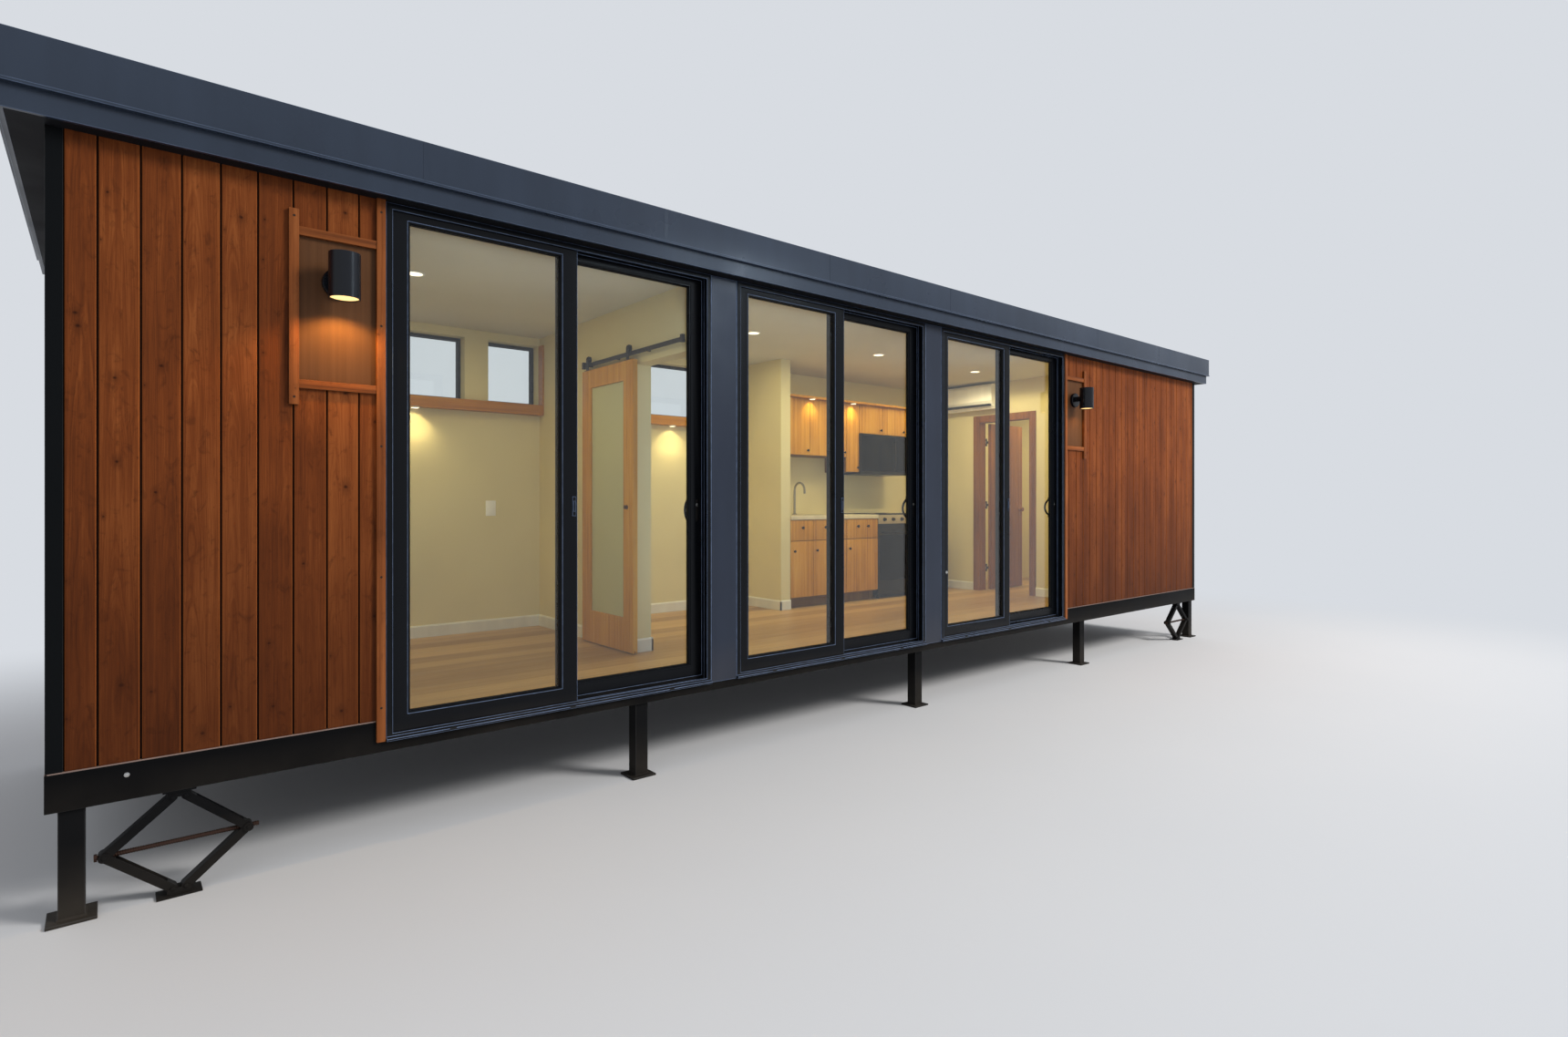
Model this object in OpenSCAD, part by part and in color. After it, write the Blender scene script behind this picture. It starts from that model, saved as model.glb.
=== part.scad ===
// Timber clad modular cabin on a raised steel chassis
// Long flat-roofed body with three two-panel sliding glass doors in one long side
// X runs along the long side, the doors face -Y, Z is up and the ground is at zero

/* [Body] */
// Length over the corner trims
body_l = 10060; // [9000:10:12000]
// Depth over the cladding
body_w = 2600; // [2400:10:3200]
// Thickness of the wall structure with its lining
wall_t = 120; // [90:5:160]
// Thickness of the cladding boards
cladding_t = 20; // [15:1:28]
// Clear height from the floor to the ceiling
room_h = 2440; // [2410:10:2700]
// Width of each face of the corner trims
corner_w = 48; // [40:1:70]

/* [Chassis] */
// Height of the underside of the chassis above the ground
ground_clearance = 430; // [350:10:550]
// Height of the perimeter rail
rail_h = 145; // [130:5:200]
// Thickness of the rail's web
rail_web_t = 25; // [12:1:25]
// Width of the rail's flanges behind the web
rail_flange_w = 50; // [40:5:80]
// How far the rail stands out from the boards
rail_proud = 5; // [2:1:10]
// Drop from the top of the rail to the floor surface
floor_drop = 25; // [15:5:30]
// Number of cross members between the end rails
cross_count = 9; // [6:1:12]
// Width of a cross member
cross_w = 60; // [40:5:90]

/* [Supports] */
// Number of leg pairs along the body
leg_pairs = 5; // [3:1:7]
// Side of a square leg
leg_w = 80; // [60:5:120]
// Distance from the body's end to the face of the first leg
leg_inset = 32; // [30:2:60]
// Side of a leg's ground plate
foot_w = 150; // [120:10:240]
// Thickness of a ground plate
foot_t = 12; // [8:1:20]
// Distance from the body's end to the centre of a scissor jack
jack_inset = 400; // [380:10:500]
// Distance from the rail's face to the centre of a scissor jack
jack_depth = 40; // [38:1:44]
// Half of the jack's spread between its two screw nuts
jack_spread = 235; // [200:5:260]
// Width of a jack arm's channel
jack_arm_w = 46; // [36:2:60]

/* [Roof] */
// Overhang of the fascia at the front and the back
eave = 110; // [90:5:160]
// Overhang of the fascia at the two ends
end_eave = 150; // [120:5:200]
// Height of the lower fascia below the upper one
lower_fascia_h = 88; // [60:2:120]
// Height of the upper fascia
upper_fascia_h = 195; // [160:5:240]
// Thickness of the upper fascia
upper_fascia_t = 22; // [16:1:30]
// Thickness of the board behind it, which shows as the lower fascia
lower_fascia_t = 18; // [12:1:25]
// Fall of the roof from the front to the back
roof_fall = 35; // [20:5:50]
// Depth of the fascia's top edge above the roof sheet at the front
parapet = 22; // [15:1:30]
// Thickness of the soffit boards
soft_t = 6; // [4:1:10]
// Thickness of the ceiling boards
ceiling_t = 30; // [12:2:40]

/* [Glass doors] */
// Distance from the left end to the first door
door_x = 1170; // [1000:5:1400]
// Width of one door unit
door_w = 1855; // [1700:5:1900]
// Width of the post cover between two door units
pilaster_w = 200; // [150:5:260]
// Distance of the doors' underside below the rail's top
door_drop = 95; // [60:5:100]
// Gap between the door units' top and the soffit
head_gap = 6; // [4:1:20]
// Depth of a door unit's frame
frame_d = 130; // [128:2:140]
// How far a door unit's frame stands out from the boards
frame_proud = 12; // [5:1:18]
// Thickness of the frame's web at the jambs and the head
frame_web = 12; // [8:1:14]
// Face width of the frame's lips
frame_lip = 30; // [26:1:36]
// How far the sill's nose stands out from the frame
sill_nose = 18; // [10:1:25]
// Height of the sill's channel floor
sill_floor = 20; // [16:1:24]
// Thickness of a door panel
sash_t = 40; // [36:1:42]
// Face width of a panel's stiles
stile_w = 88; // [70:1:95]
// Height of a panel's top rail
top_rail_h = 54; // [50:1:80]
// Height of a panel's bottom rail
bottom_rail_h = 80; // [70:1:110]
// Thickness of the double glass in a panel
glass_t = 12; // [8:1:16]
// Running clearance round a sliding panel
slide_gap = 5; // [5:0.5:7]
// Running clearance under a roller
roller_gap = 0.3; // [0.2:0.1:0.5]
// Radius of a panel's rollers
roller_r = 12; // [10:1:14]
// Height of the pulls above the floor
pull_z = 1000; // [900:10:1100]
// Length of a pull
pull_l = 176; // [140:2:220]

/* [Lamp frames] */
// Face width of the battens
batten_w = 38; // [30:1:50]
// How far the battens stand out from the boards
batten_proud = 20; // [15:1:30]
// Width of the panel between the two battens
lamp_panel_w = 312; // [260:2:360]
// Height of the short batten's foot above the rail's top
batten_foot = 1454; // [1300:2:1550]
// Length of the short batten
batten_l = 858; // [800:2:950]
// Distance from the short batten's ends to the cross rails
rail_inset = 73; // [50:1:100]
// Diameter of a lamp's cylinder
lamp_d = 127; // [100:1:140]
// Height of a lamp's cylinder
lamp_h = 200; // [160:5:240]
// Distance from the boards to the axis of a lamp
lamp_axis = 129; // [110:1:140]
// Distance from the upper cross rail to the lamp's top
lamp_drop = 80; // [50:5:120]

/* [Back windows] */
// Height of the windows above the floor
window_z = 1865; // [1700:5:1900]
// Height of a window opening
window_h = 510; // [400:5:520]
// Left edges of the windows from the left end
window_x = [1390, 2548, 3950];
// Widths of the windows
window_w = [970, 425, 960];
// Width of a window frame's members
window_frame_w = 25; // [22:1:50]
// Depth of a window frame
window_frame_d = 50; // [44:1:80]
// Depth of the wooden ledge below the windows
ledge_d = 90; // [60:5:140]
// Thickness of the wooden ledge
ledge_t = 84; // [30:2:100]

/* [Rooms] */
// Thickness of the partitions
partition_t = 120; // [90:5:140]
// Left face of the bedroom partition from the left end
bedroom_x = 2985; // [2950:5:3030]
// Width of the way past the bedroom partition
passage_w = 700; // [640:5:760]
// Height of the doorways above the floor
doorway_h = 2012; // [1990:2:2100]
// Left face of the kitchen's wing wall from the left end
wing_x = 5153; // [5000:1:5300]
// Depth of the wing wall from the back wall
wing_d = 620; // [600:5:700]
// Left face of the bathroom partition from the left end
bath_x = 8080; // [7800:5:8400]
// Distance from the front wall to the bathroom doorway
bath_door_y = 810; // [700:5:900]
// Width of the bathroom doorway
bath_door_w = 715; // [660:5:800]

/* [Inner doors] */
// Width of the hanging door
barn_w = 762; // [740:2:820]
// Height of the hanging door
barn_h = 2025; // [2015:1:2060]
// Thickness of the hanging door
barn_t = 35; // [32:1:44]
// Width of the hanging door's stiles and top rail
barn_stile = 135; // [90:5:160]
// Height of the hanging door's bottom rail
barn_bottom = 235; // [200:5:280]
// Gap between the partition and the hanging door
barn_off = 29; // [20:1:40]
// Gap between the floor and the inner doors
leaf_gap = 9; // [6:1:15]
// How far the parked door stands past the partition's end
barn_park = 70; // [40:5:140]
// Height of the hanging door's track bar
track_h = 30; // [28:1:40]
// Thickness of the track bar
track_t = 6; // [5:1:8]
// Radius of the hanger wheels
wheel_r = 24; // [20:1:30]
// Thickness of the bathroom door
leaf_t = 44; // [35:1:50]

/* [Kitchen] */
// Length of the kitchen run
kitchen_l = 2300; // [1900:10:2700]
// Height of the counter's top above the floor
counter_h = 914; // [860:2:950]
// Depth of the counter
counter_d = 630; // [580:5:680]
// Thickness of the counter
counter_t = 38; // [25:1:50]
// Depth of the wall units
unit_d = 330; // [280:5:380]
// Height of the underside of the wall units over the sink above the floor
sink_unit_z = 1540; // [1450:5:1600]
// Height of the underside of the wall units by the cooker above the floor
unit_z = 1380; // [1350:5:1450]
// Height of the wall units' top above the floor
unit_top = 2130; // [2060:5:2200]
// Width of the narrow wall unit by the cooker
narrow_unit_w = 200; // [150:10:400]
// Height of the hood over the cooker
hood_h = 430; // [380:5:450]
// Distance from the wing wall to the cooker
cooker_at = 1247; // [1000:1:1400]
// Width of the cooker
cooker_w = 760; // [600:10:780]

/* [Hidden] */

door_count = 3;
fit = 0.3;
drip_out = 4;
reach_back = eave + drip_out;
reach_front = max(reach_back, lamp_axis + lamp_d / 2);
front_y = (reach_front - reach_back - body_w) / 2;
back_y = front_y + body_w;
x_left = -body_l / 2;
x_right = body_l / 2;

rail_z = ground_clearance;
rail_top = rail_z + rail_h;
floor_z = rail_top - floor_drop;
ceiling_z = floor_z + room_h;
wall_top = ceiling_z + ceiling_t;
soffit_z = wall_top - soft_t;
fascia_step = soffit_z + lower_fascia_h;
fascia_top = fascia_step + upper_fascia_h;
ledge_lip = 5;
cladding_z = rail_top + ledge_lip;
rail_bar_h = 20;
floor_t = door_drop - floor_drop;

wall_in = cladding_t + wall_t;
room_front = front_y + wall_in;
room_back = back_y - wall_in;
room_left = x_left + wall_in;
room_right = x_right - wall_in;

door_z = rail_top - door_drop;
door_top = soffit_z - head_gap;
door_h = door_top - door_z;
door_left = x_left + door_x;
door_pitch = door_w + pilaster_w;
doors_l = door_count * door_w + (door_count - 1) * pilaster_w;
door_right = door_left + doors_l;
frame_y = front_y - frame_proud;
track_a = frame_web + slide_gap - 2;
track_b = track_a + sash_t + 2 * slide_gap + frame_web / 2;
sash_z = sill_floor + 10;
roller_drop = 6;
sash_top = door_h - frame_web - 2;
interlock = stile_w / 2;
pane_y = 22;
barn_glass_t = 8;

lamp_z = rail_top + batten_foot + batten_l - rail_inset - batten_w - lamp_drop - lamp_h;
batten_gap = 3;
left_batten_x = door_left - batten_gap - batten_w;
right_batten_x = door_right + batten_gap;

bedroom_left = x_left + bedroom_x;
bath_left = x_left + bath_x;
wing_left = x_left + wing_x;
doorway_top = floor_z + doorway_h;
barn_x = bedroom_left - barn_off - barn_t;
barn_y = room_front + passage_w - barn_park;
barn_z = floor_z + leaf_gap;
barn_top = barn_z + barn_h;
track_z = barn_top + 31;
track_x = barn_x + barn_t / 2 - track_t / 2;
kitchen_left = wing_left + partition_t;
cooker_x = kitchen_left + cooker_at;

// A plain block given by its two opposite corners
module block(a, b) {
    translate(a) cube([b[0] - a[0], b[1] - a[1], b[2] - a[2]]);
}

// A rectangular ring round the building, out past the cladding by the given amounts
module ring(out_x, out_y, t, z0, z1) {
    difference() {
        block([x_left - out_x, front_y - out_y, z0], [x_right + out_x, back_y + out_y, z1]);
        block([x_left - out_x + t, front_y - out_y + t, z0 - 1],
              [x_right + out_x - t, back_y + out_y - t, z1 + 1]);
    }
}

// Section of a perimeter rail with its web at zero and its flanges towards +Y
module rail_section() {
    shelf = rail_h - floor_drop;
    union() {
        square([rail_web_t, rail_h]);
        translate([rail_web_t - 1, 0]) square([rail_flange_w + 1, rail_bar_h]);
        translate([rail_web_t - 1, shelf - rail_bar_h]) square([rail_flange_w + 1, rail_bar_h]);
    }
}

// A rail along X whose outer face looks to -Y
module long_rail() {
    translate([x_left - rail_proud, 0, rail_z])
        rotate([90, 0, 90])
            linear_extrude(body_l + 2 * rail_proud) rail_section();
}

module chassis_rails() {
    color("#15171a") {
        difference() {
            translate([0, front_y - rail_proud, 0]) long_rail();
            block([door_left, front_y - 100, door_z],
                  [door_right, front_y + frame_d + 50, rail_top + 1]);
        }
        translate([0, back_y + rail_proud, 0]) mirror([0, 1, 0]) long_rail();
    }
}

// A rail along Y between the long rails, with its web at the building's end
module end_rail() {
    y0 = front_y - rail_proud + rail_web_t + rail_flange_w;
    y1 = back_y + rail_proud - rail_web_t - rail_flange_w;
    translate([x_left - rail_proud, y1, rail_z])
        rotate([90, 0, 0])
            linear_extrude(y1 - y0) rail_section();
}

module chassis_cross_members() {
    y0 = front_y - rail_proud + rail_web_t + rail_flange_w;
    y1 = back_y + rail_proud - rail_web_t - rail_flange_w;
    step = body_l / (cross_count + 1);
    color("#1c1e21") {
        end_rail();
        mirror([1, 0, 0]) end_rail();
        for (i = [1 : cross_count])
            block([x_left + i * step - cross_w / 2, y0, rail_z],
                  [x_left + i * step + cross_w / 2, y1, floor_z - floor_t]);
    }
}

// A square leg under the rail on its ground plate, with its outer corner at the origin
module leg() {
    spare = (foot_w - leg_w) / 2;
    union() {
        block([0, 0, foot_t - 1], [leg_w, leg_w, rail_z]);
        block([-spare, -spare, 0], [leg_w + spare, leg_w + spare, foot_t]);
    }
}

module support_legs() {
    first = x_left + leg_inset;
    last = x_right - leg_inset - leg_w;
    color("#202225")
        for (i = [0 : leg_pairs - 1])
            translate([first + i * (last - first) / (leg_pairs - 1), 0, 0]) {
                translate([0, front_y + 15, 0]) leg();
                translate([0, back_y - 15 - leg_w, 0]) leg();
            }
}

jack_base_t = 8;
jack_pin_z = jack_base_t + 22;
jack_top_z = rail_z - jack_pin_z;
jack_mid_z = rail_z / 2;
jack_top_w = rail_web_t + rail_flange_w - 5;

// One channel arm between two points of the jack's XZ plane
module jack_arm(x0, z0, x1, z1) {
    run = sqrt(pow(x1 - x0, 2) + pow(z1 - z0, 2));
    translate([x0, 0, z0]) rotate([0, -atan2(z1 - z0, x1 - x0), 0])
        difference() {
            union() {
                block([0, -jack_arm_w / 2, -16], [run, jack_arm_w / 2, 16]);
                for (s = [0, run]) translate([s, 0, 0]) rotate([90, 0, 0])
                    cylinder(r = 16, h = jack_arm_w, center = true, $fn = 32);
            }
            block([34, -jack_arm_w / 2 + 4, -20], [run - 34, jack_arm_w / 2 - 4, 11]);
        }
}

module scissor_jack() {
    union() {
        block([-75, -45, 0], [75, 45, jack_base_t]);
        block([-40, -jack_arm_w / 2 - 4, 0], [40, jack_arm_w / 2 + 4, jack_pin_z]);
        block([-55, -jack_top_w / 2, rail_z - jack_base_t], [55, jack_top_w / 2, rail_z]);
        block([-40, -jack_arm_w / 2 - 4, rail_z - jack_pin_z], [40, jack_arm_w / 2 + 4, rail_z]);
        for (s = [-1, 1]) {
            jack_arm(s * 22, jack_pin_z, s * jack_spread, jack_mid_z);
            jack_arm(s * jack_spread, jack_mid_z, s * 22, jack_top_z);
            translate([s * jack_spread, 0, jack_mid_z]) rotate([90, 0, 0])
                cylinder(r = 18, h = jack_arm_w + 16, center = true, $fn = 32);
        }
    }
}

// Puts a copy of its child at each of the four jacks
module each_jack() {
    for (sx = [-1, 1], y = [front_y - rail_proud + jack_depth, back_y + rail_proud - jack_depth])
        translate([sx * (body_l / 2 - jack_inset), y, 0]) children();
}

module scissor_jacks() {
    color("#1a1b1e") each_jack()
        difference() {
            scissor_jack();
            translate([0, 0, jack_mid_z]) rotate([0, 90, 0])
                cylinder(r = 10 + fit, h = 2 * jack_spread + 100, center = true, $fn = 32);
        }
}

module jack_screws() {
    color("#7a4a3a") each_jack()
        translate([-jack_spread - 30, 0, jack_mid_z]) rotate([0, 90, 0]) {
            cylinder(r = 10, h = 2 * jack_spread + 70, $fn = 32);
            cylinder(r = 15, h = 10, $fn = 6);
        }
}

module floor() {
    x0 = x_left - rail_proud + rail_web_t + rail_flange_w;
    y0 = front_y - rail_proud + rail_web_t + rail_flange_w;
    color("#c9a878") difference() {
        block([x0, y0, floor_z - floor_t], [-x0, back_y + front_y - y0, floor_z]);
        block([door_left, y0 - 1, floor_z - floor_t - 1],
              [door_right, frame_y + frame_d, floor_z + 1]);
    }
}

module front_wall() {
    color("#e9e2d0") {
        block([x_left + wall_in, front_y + cladding_t, floor_z], [door_left, room_front, wall_top]);
        block([door_right, front_y + cladding_t, floor_z], [x_right - wall_in, room_front, wall_top]);
    }
}

// A window opening through the back, of the given clearance all round
module window_holes(spare, y0, y1) {
    for (i = [0 : len(window_x) - 1])
        block([x_left + window_x[i] - spare, y0, floor_z + window_z - spare],
              [x_left + window_x[i] + window_w[i] + spare, y1, floor_z + window_z + window_h + spare]);
}

module back_wall() {
    color("#e9e2d0") difference() {
        block([x_left + wall_in, room_back, floor_z], [x_right - wall_in, back_y - cladding_t, wall_top]);
        window_holes(0, room_back - 1, back_y);
    }
}

module end_wall() {
    block([x_left + cladding_t, front_y + cladding_t, floor_z],
          [x_left + wall_in, back_y - cladding_t, wall_top]);
}

module left_end_wall() {
    color("#e9e2d0") end_wall();
}

module right_end_wall() {
    color("#e9e2d0") mirror([1, 0, 0]) end_wall();
}

module front_cladding() {
    y1 = front_y + cladding_t;
    color("#96542f") {
        difference() {
            block([x_left + corner_w, front_y, cladding_z], [door_left - batten_gap, y1, soffit_z]);
            lamp_recess(left_batten_x - lamp_panel_w);
        }
        difference() {
            block([door_right + batten_gap, front_y, cladding_z], [x_right - corner_w, y1, soffit_z]);
            lamp_recess(right_batten_x + batten_w);
        }
    }
}

module back_cladding() {
    color("#96542f") difference() {
        block([x_left + corner_w, back_y - cladding_t, cladding_z], [x_right - corner_w, back_y, soffit_z]);
        window_holes(0, back_y - cladding_t - 1, back_y + 1);
    }
}

module end_cladding() {
    color("#96542f") for (m = [0, 1]) mirror([m, 0, 0])
        block([x_left, front_y + corner_w, cladding_z], [x_left + cladding_t, back_y - corner_w, soffit_z]);
}

// An angle round one corner, with a thin outer face on both sides
module corner_trim() {
    union() {
        block([0, 0, 0], [corner_w, cladding_t, soffit_z - cladding_z]);
        block([0, 0, 0], [cladding_t, corner_w, soffit_z - cladding_z]);
        block([-3, -3, 0], [corner_w, 0.5, soffit_z - cladding_z]);
        block([-3, -3, 0], [0.5, corner_w, soffit_z - cladding_z]);
    }
}

module corner_trims() {
    color("#24282d") for (mx = [0, 1], back = [0, 1])
        mirror([mx, 0, 0])
            translate([x_left, back == 0 ? front_y : back_y, cladding_z])
                mirror([0, back, 0]) corner_trim();
}

module door_pilasters() {
    side = 2;
    color("#2b3037") for (i = [1 : door_count - 1])
        block([door_left + i * door_pitch - pilaster_w + side, frame_y + 2, door_z],
              [door_left + i * door_pitch - side, frame_y + frame_d, door_top]);
}

module roof_structure() {
    out = eave - upper_fascia_t - lower_fascia_t;
    x0 = x_left - end_eave + upper_fascia_t + lower_fascia_t;
    y0 = front_y - out;
    y1 = back_y + out;
    roof_top = fascia_top - parapet;
    color("#8d9296")
        translate([x0, 0, 0]) rotate([90, 0, 90])
            linear_extrude(-2 * x0)
                polygon([[y0, wall_top], [y1, wall_top], [y1, roof_top - roof_fall], [y0, roof_top]]);
}

module upper_fascia() {
    cap_t = 4;
    cap_w = 60;
    color("#33383f") union() {
        ring(end_eave, eave, upper_fascia_t, fascia_step, fascia_top);
        ring(end_eave, eave, cap_w, fascia_top - cap_t, fascia_top);
        ring(end_eave + drip_out, reach_back, upper_fascia_t, fascia_step, fascia_step + 12);
    }
}

module lower_fascia() {
    color("#2c3138")
        ring(end_eave - upper_fascia_t, eave - upper_fascia_t, lower_fascia_t,
             soffit_z, fascia_top - parapet - roof_fall);
}

module soffit() {
    out = eave - upper_fascia_t - lower_fascia_t;
    out_x = end_eave - upper_fascia_t - lower_fascia_t;
    color("#0f1113") difference() {
        block([x_left - out_x, front_y - out, soffit_z], [x_right + out_x, back_y + out, wall_top]);
        block([x_left + cladding_t, front_y + cladding_t, soffit_z - 1],
              [x_right - cladding_t, back_y - cladding_t, wall_top + 1]);
    }
}

module ceiling() {
    color("#efe9da")
        block([room_left, room_front, ceiling_z], [room_right, room_back, wall_top]);
}

// Section of a jamb in plan, with the unit's outside at x = 0 and its front at y = 0
module jamb_section() {
    mid = track_b - slide_gap - frame_web / 2;
    union() {
        square([frame_web, frame_d]);
        square([frame_lip, frame_web]);
        translate([0, mid]) square([frame_lip, frame_web / 2]);
        translate([0, frame_d - frame_web]) square([frame_lip, frame_web]);
    }
}

// Section of the sill with its nose towards -Y, the two channels and the roller rail
module sill_section() {
    rail_y = track_b + sash_t / 2;
    mid = track_b - slide_gap - frame_web / 2;
    union() {
        polygon([[-sill_nose, 0], [frame_d, 0], [frame_d, sill_floor + 26], [frame_d - frame_web, sill_floor + 26],
                 [frame_d - frame_web, sill_floor], [frame_web, sill_floor], [frame_web, sill_floor + 12],
                 [0, sill_floor + 12], [0, sill_floor - 2], [-sill_nose + 4, sill_floor - 6],
                 [-sill_nose, sill_floor - 10]]);
        translate([mid, 0]) square([frame_web / 2, sill_floor + 26]);
        translate([rail_y - 3, 0]) square([6, sash_z - roller_drop]);
    }
}

// Section of the head, hanging from the top edge at y = 0
module head_section() {
    mid = track_b - slide_gap - frame_web / 2;
    union() {
        translate([0, -frame_web]) square([frame_d, frame_web]);
        translate([0, -frame_lip]) square([frame_web, frame_lip]);
        translate([mid, -frame_lip]) square([frame_web / 2, frame_lip]);
        translate([frame_d - frame_web, -frame_lip]) square([frame_web, frame_lip]);
    }
}

module door_frame() {
    union() {
        for (m = [0, 1]) translate([m * door_w, 0, 0]) mirror([m, 0, 0])
            linear_extrude(door_h) jamb_section();
        rotate([90, 0, 90]) linear_extrude(door_w) sill_section();
        translate([0, 0, door_h]) rotate([90, 0, 90]) linear_extrude(door_w) head_section();
    }
}

// Puts its children at each door unit's lower left front corner
module each_door() {
    for (i = [0 : door_count - 1]) at_door(i) children();
}

module at_door(i) {
    translate([door_left + i * door_pitch, frame_y, door_z]) children();
}

module door_frames() {
    color("#14171b") each_door() door_frame();
}

// A panel's stiles and rails with a rebate for the glass, from its lower left front corner
module sash(w, h, bottom) {
    difference() {
        block([0, 0, 0], [w, sash_t, h]);
        block([stile_w, -1, bottom], [w - stile_w, sash_t + 1, h - top_rail_h]);
        block([stile_w - 12, pane_y - fit, bottom - 12],
              [w - stile_w + 12, pane_y + glass_t + fit, h - top_rail_h + 12]);
    }
}

module pane(w, h, bottom) {
    block([stile_w - 12 + fit, pane_y, bottom - 12 + fit],
          [w - stile_w + 12 - fit, pane_y + glass_t, h - top_rail_h + 12 - fit]);
}

fixed_w = door_w / 2 + interlock - frame_web;
fixed_h = door_h - frame_web - sill_floor;
fixed_bottom = bottom_rail_h + sash_z - sill_floor;
slider_w = door_w / 2 + interlock - frame_web - slide_gap;
slider_x = door_w / 2 - interlock;
slider_h = sash_top - sash_z;

module fixed_panels() {
    color("#16191d") each_door() translate([frame_web, track_a, sill_floor])
        sash(fixed_w, fixed_h, fixed_bottom);
}

module fixed_glass() {
    color([0.8, 0.86, 0.85, 0.35]) each_door() translate([frame_web, track_a, sill_floor])
        pane(fixed_w, fixed_h, fixed_bottom);
}

// A bowed pull on two feet, standing off towards +Y
module bow_pull() {
    rise = 38;
    bar_r = 7;
    half = pull_l / 2 - bar_r;
    arc_r = (half * half + rise * rise) / (2 * rise);
    sweep = asin(half / arc_r);
    union() {
        translate([0, rise - arc_r, 0]) rotate([90 - sweep, 0, 0]) rotate([0, 90, 0])
            rotate_extrude(angle = 2 * sweep, $fn = 96) translate([arc_r, 0]) circle(r = bar_r, $fn = 24);
        for (s = [-1, 1]) translate([-12, 0, s * half - 16]) cube([24, 8, 32]);
    }
}

module sliding_panel() {
    pull_at = floor_z + pull_z - door_z;
    roller_inset = 120;
    roller_t = 8;
    roller_x = [slider_x + roller_inset, slider_x + slider_w - roller_inset];
    union() {
        difference() {
            translate([slider_x, track_b, sash_z]) sash(slider_w, slider_h, bottom_rail_h);
            for (x = roller_x)
                translate([x - roller_r - 3, track_b + (sash_t - roller_t) / 2 - 2, sash_z - 1])
                    cube([2 * roller_r + 6, roller_t + 4, roller_r + 14]);
            translate([slider_x + slider_w - 50, track_b - 1, pull_at - 70]) cube([26, 9, 140]);
        }
        for (x = roller_x)
            translate([x, track_b + sash_t / 2, sash_z - roller_drop + roller_gap + roller_r]) rotate([90, 0, 0]) {
                cylinder(r = roller_r, h = roller_t, center = true, $fn = 48);
                cylinder(r = 3, h = roller_t + 18, center = true, $fn = 24);
            }
    }
    translate([slider_x + slider_w - stile_w / 2, track_b + sash_t + fit, pull_at]) bow_pull();
}

module sliding_panel_1() {
    color("#181b1f") at_door(0) sliding_panel();
}

module sliding_panel_2() {
    color("#181b1f") at_door(1) sliding_panel();
}

module sliding_panel_3() {
    color("#181b1f") at_door(2) sliding_panel();
}

module sliding_glass() {
    color([0.8, 0.86, 0.85, 0.35]) translate([slider_x, track_b, sash_z])
        pane(slider_w, slider_h, bottom_rail_h);
}

module sliding_glass_1() {
    at_door(0) sliding_glass();
}

module sliding_glass_2() {
    at_door(1) sliding_glass();
}

module sliding_glass_3() {
    at_door(2) sliding_glass();
}

short_z0 = rail_top + batten_foot;
short_z1 = short_z0 + batten_l;
lamp_rail_low = short_z0 + rail_inset;
lamp_rail_high = short_z1 - rail_inset - batten_w;

module lamp_recess(x) {
    block([x, front_y - 1, lamp_rail_low + batten_w], [x + lamp_panel_w, front_y + 12, lamp_rail_high]);
}

// Battens round one lamp: the tall one by the door, the short one and two cross rails
module batten_set(tall_x, short_x, cross_x) {
    y0 = front_y - batten_proud;
    union() {
        block([tall_x, y0, door_z], [tall_x + batten_w, front_y, soffit_z]);
        block([short_x, y0, short_z0], [short_x + batten_w, front_y, short_z1]);
        for (z = [lamp_rail_low, lamp_rail_high])
            block([cross_x - 1, y0 + 4, z], [cross_x + lamp_panel_w + 1, front_y, z + batten_w]);
    }
}

module lamp_battens() {
    color("#a05c34") {
        difference() {
            batten_set(left_batten_x, left_batten_x - lamp_panel_w - batten_w,
                       left_batten_x - lamp_panel_w);
            block([x_left, front_y - rail_proud, 0], [x_right, front_y + 1, cladding_z]);
        }
        difference() {
            batten_set(right_batten_x, right_batten_x + batten_w + lamp_panel_w,
                       right_batten_x + batten_w);
            block([x_left, front_y - rail_proud, 0], [x_right, front_y + 1, cladding_z]);
        }
    }
}

module lamp_panel(x) {
    block([x, front_y + 4, lamp_rail_low + batten_w], [x + lamp_panel_w, front_y + 12, lamp_rail_high]);
}

module lamp_panels() {
    color("#6e4228") {
        lamp_panel(left_batten_x - lamp_panel_w);
        lamp_panel(right_batten_x + batten_w);
    }
}

// A downlight cylinder on an arm and a round back plate
module wall_lamp() {
    wall = 4;
    union() {
        difference() {
            translate([0, -lamp_axis, 0]) cylinder(d = lamp_d, h = lamp_h, $fn = 96);
            translate([0, -lamp_axis, -1]) cylinder(d = lamp_d - 2 * wall, h = 31, $fn = 96);
        }
        translate([0, 4, lamp_h / 2]) rotate([90, 0, 0]) cylinder(d = 104, h = 26, $fn = 96);
        translate([0, 0, lamp_h / 2]) rotate([90, 0, 0])
            cylinder(d = 50, h = lamp_axis - lamp_d / 2 + 12, $fn = 64);
    }
}

module wall_lamps() {
    color("#17191c") {
        translate([left_batten_x - lamp_panel_w / 2, front_y, lamp_z]) wall_lamp();
        translate([right_batten_x + batten_w + lamp_panel_w / 2, front_y, lamp_z]) wall_lamp();
    }
}

window_out = back_y + 8;
window_in = window_out - window_frame_d;
window_pane_y = window_in + 18;

module window_frames() {
    color("#16181c") difference() {
        window_holes(0, window_in, window_out);
        window_holes(-window_frame_w, window_in - 1, window_out + 1);
        window_holes(-window_frame_w + 12, window_pane_y - fit, window_pane_y + glass_t + fit);
    }
}

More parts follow.
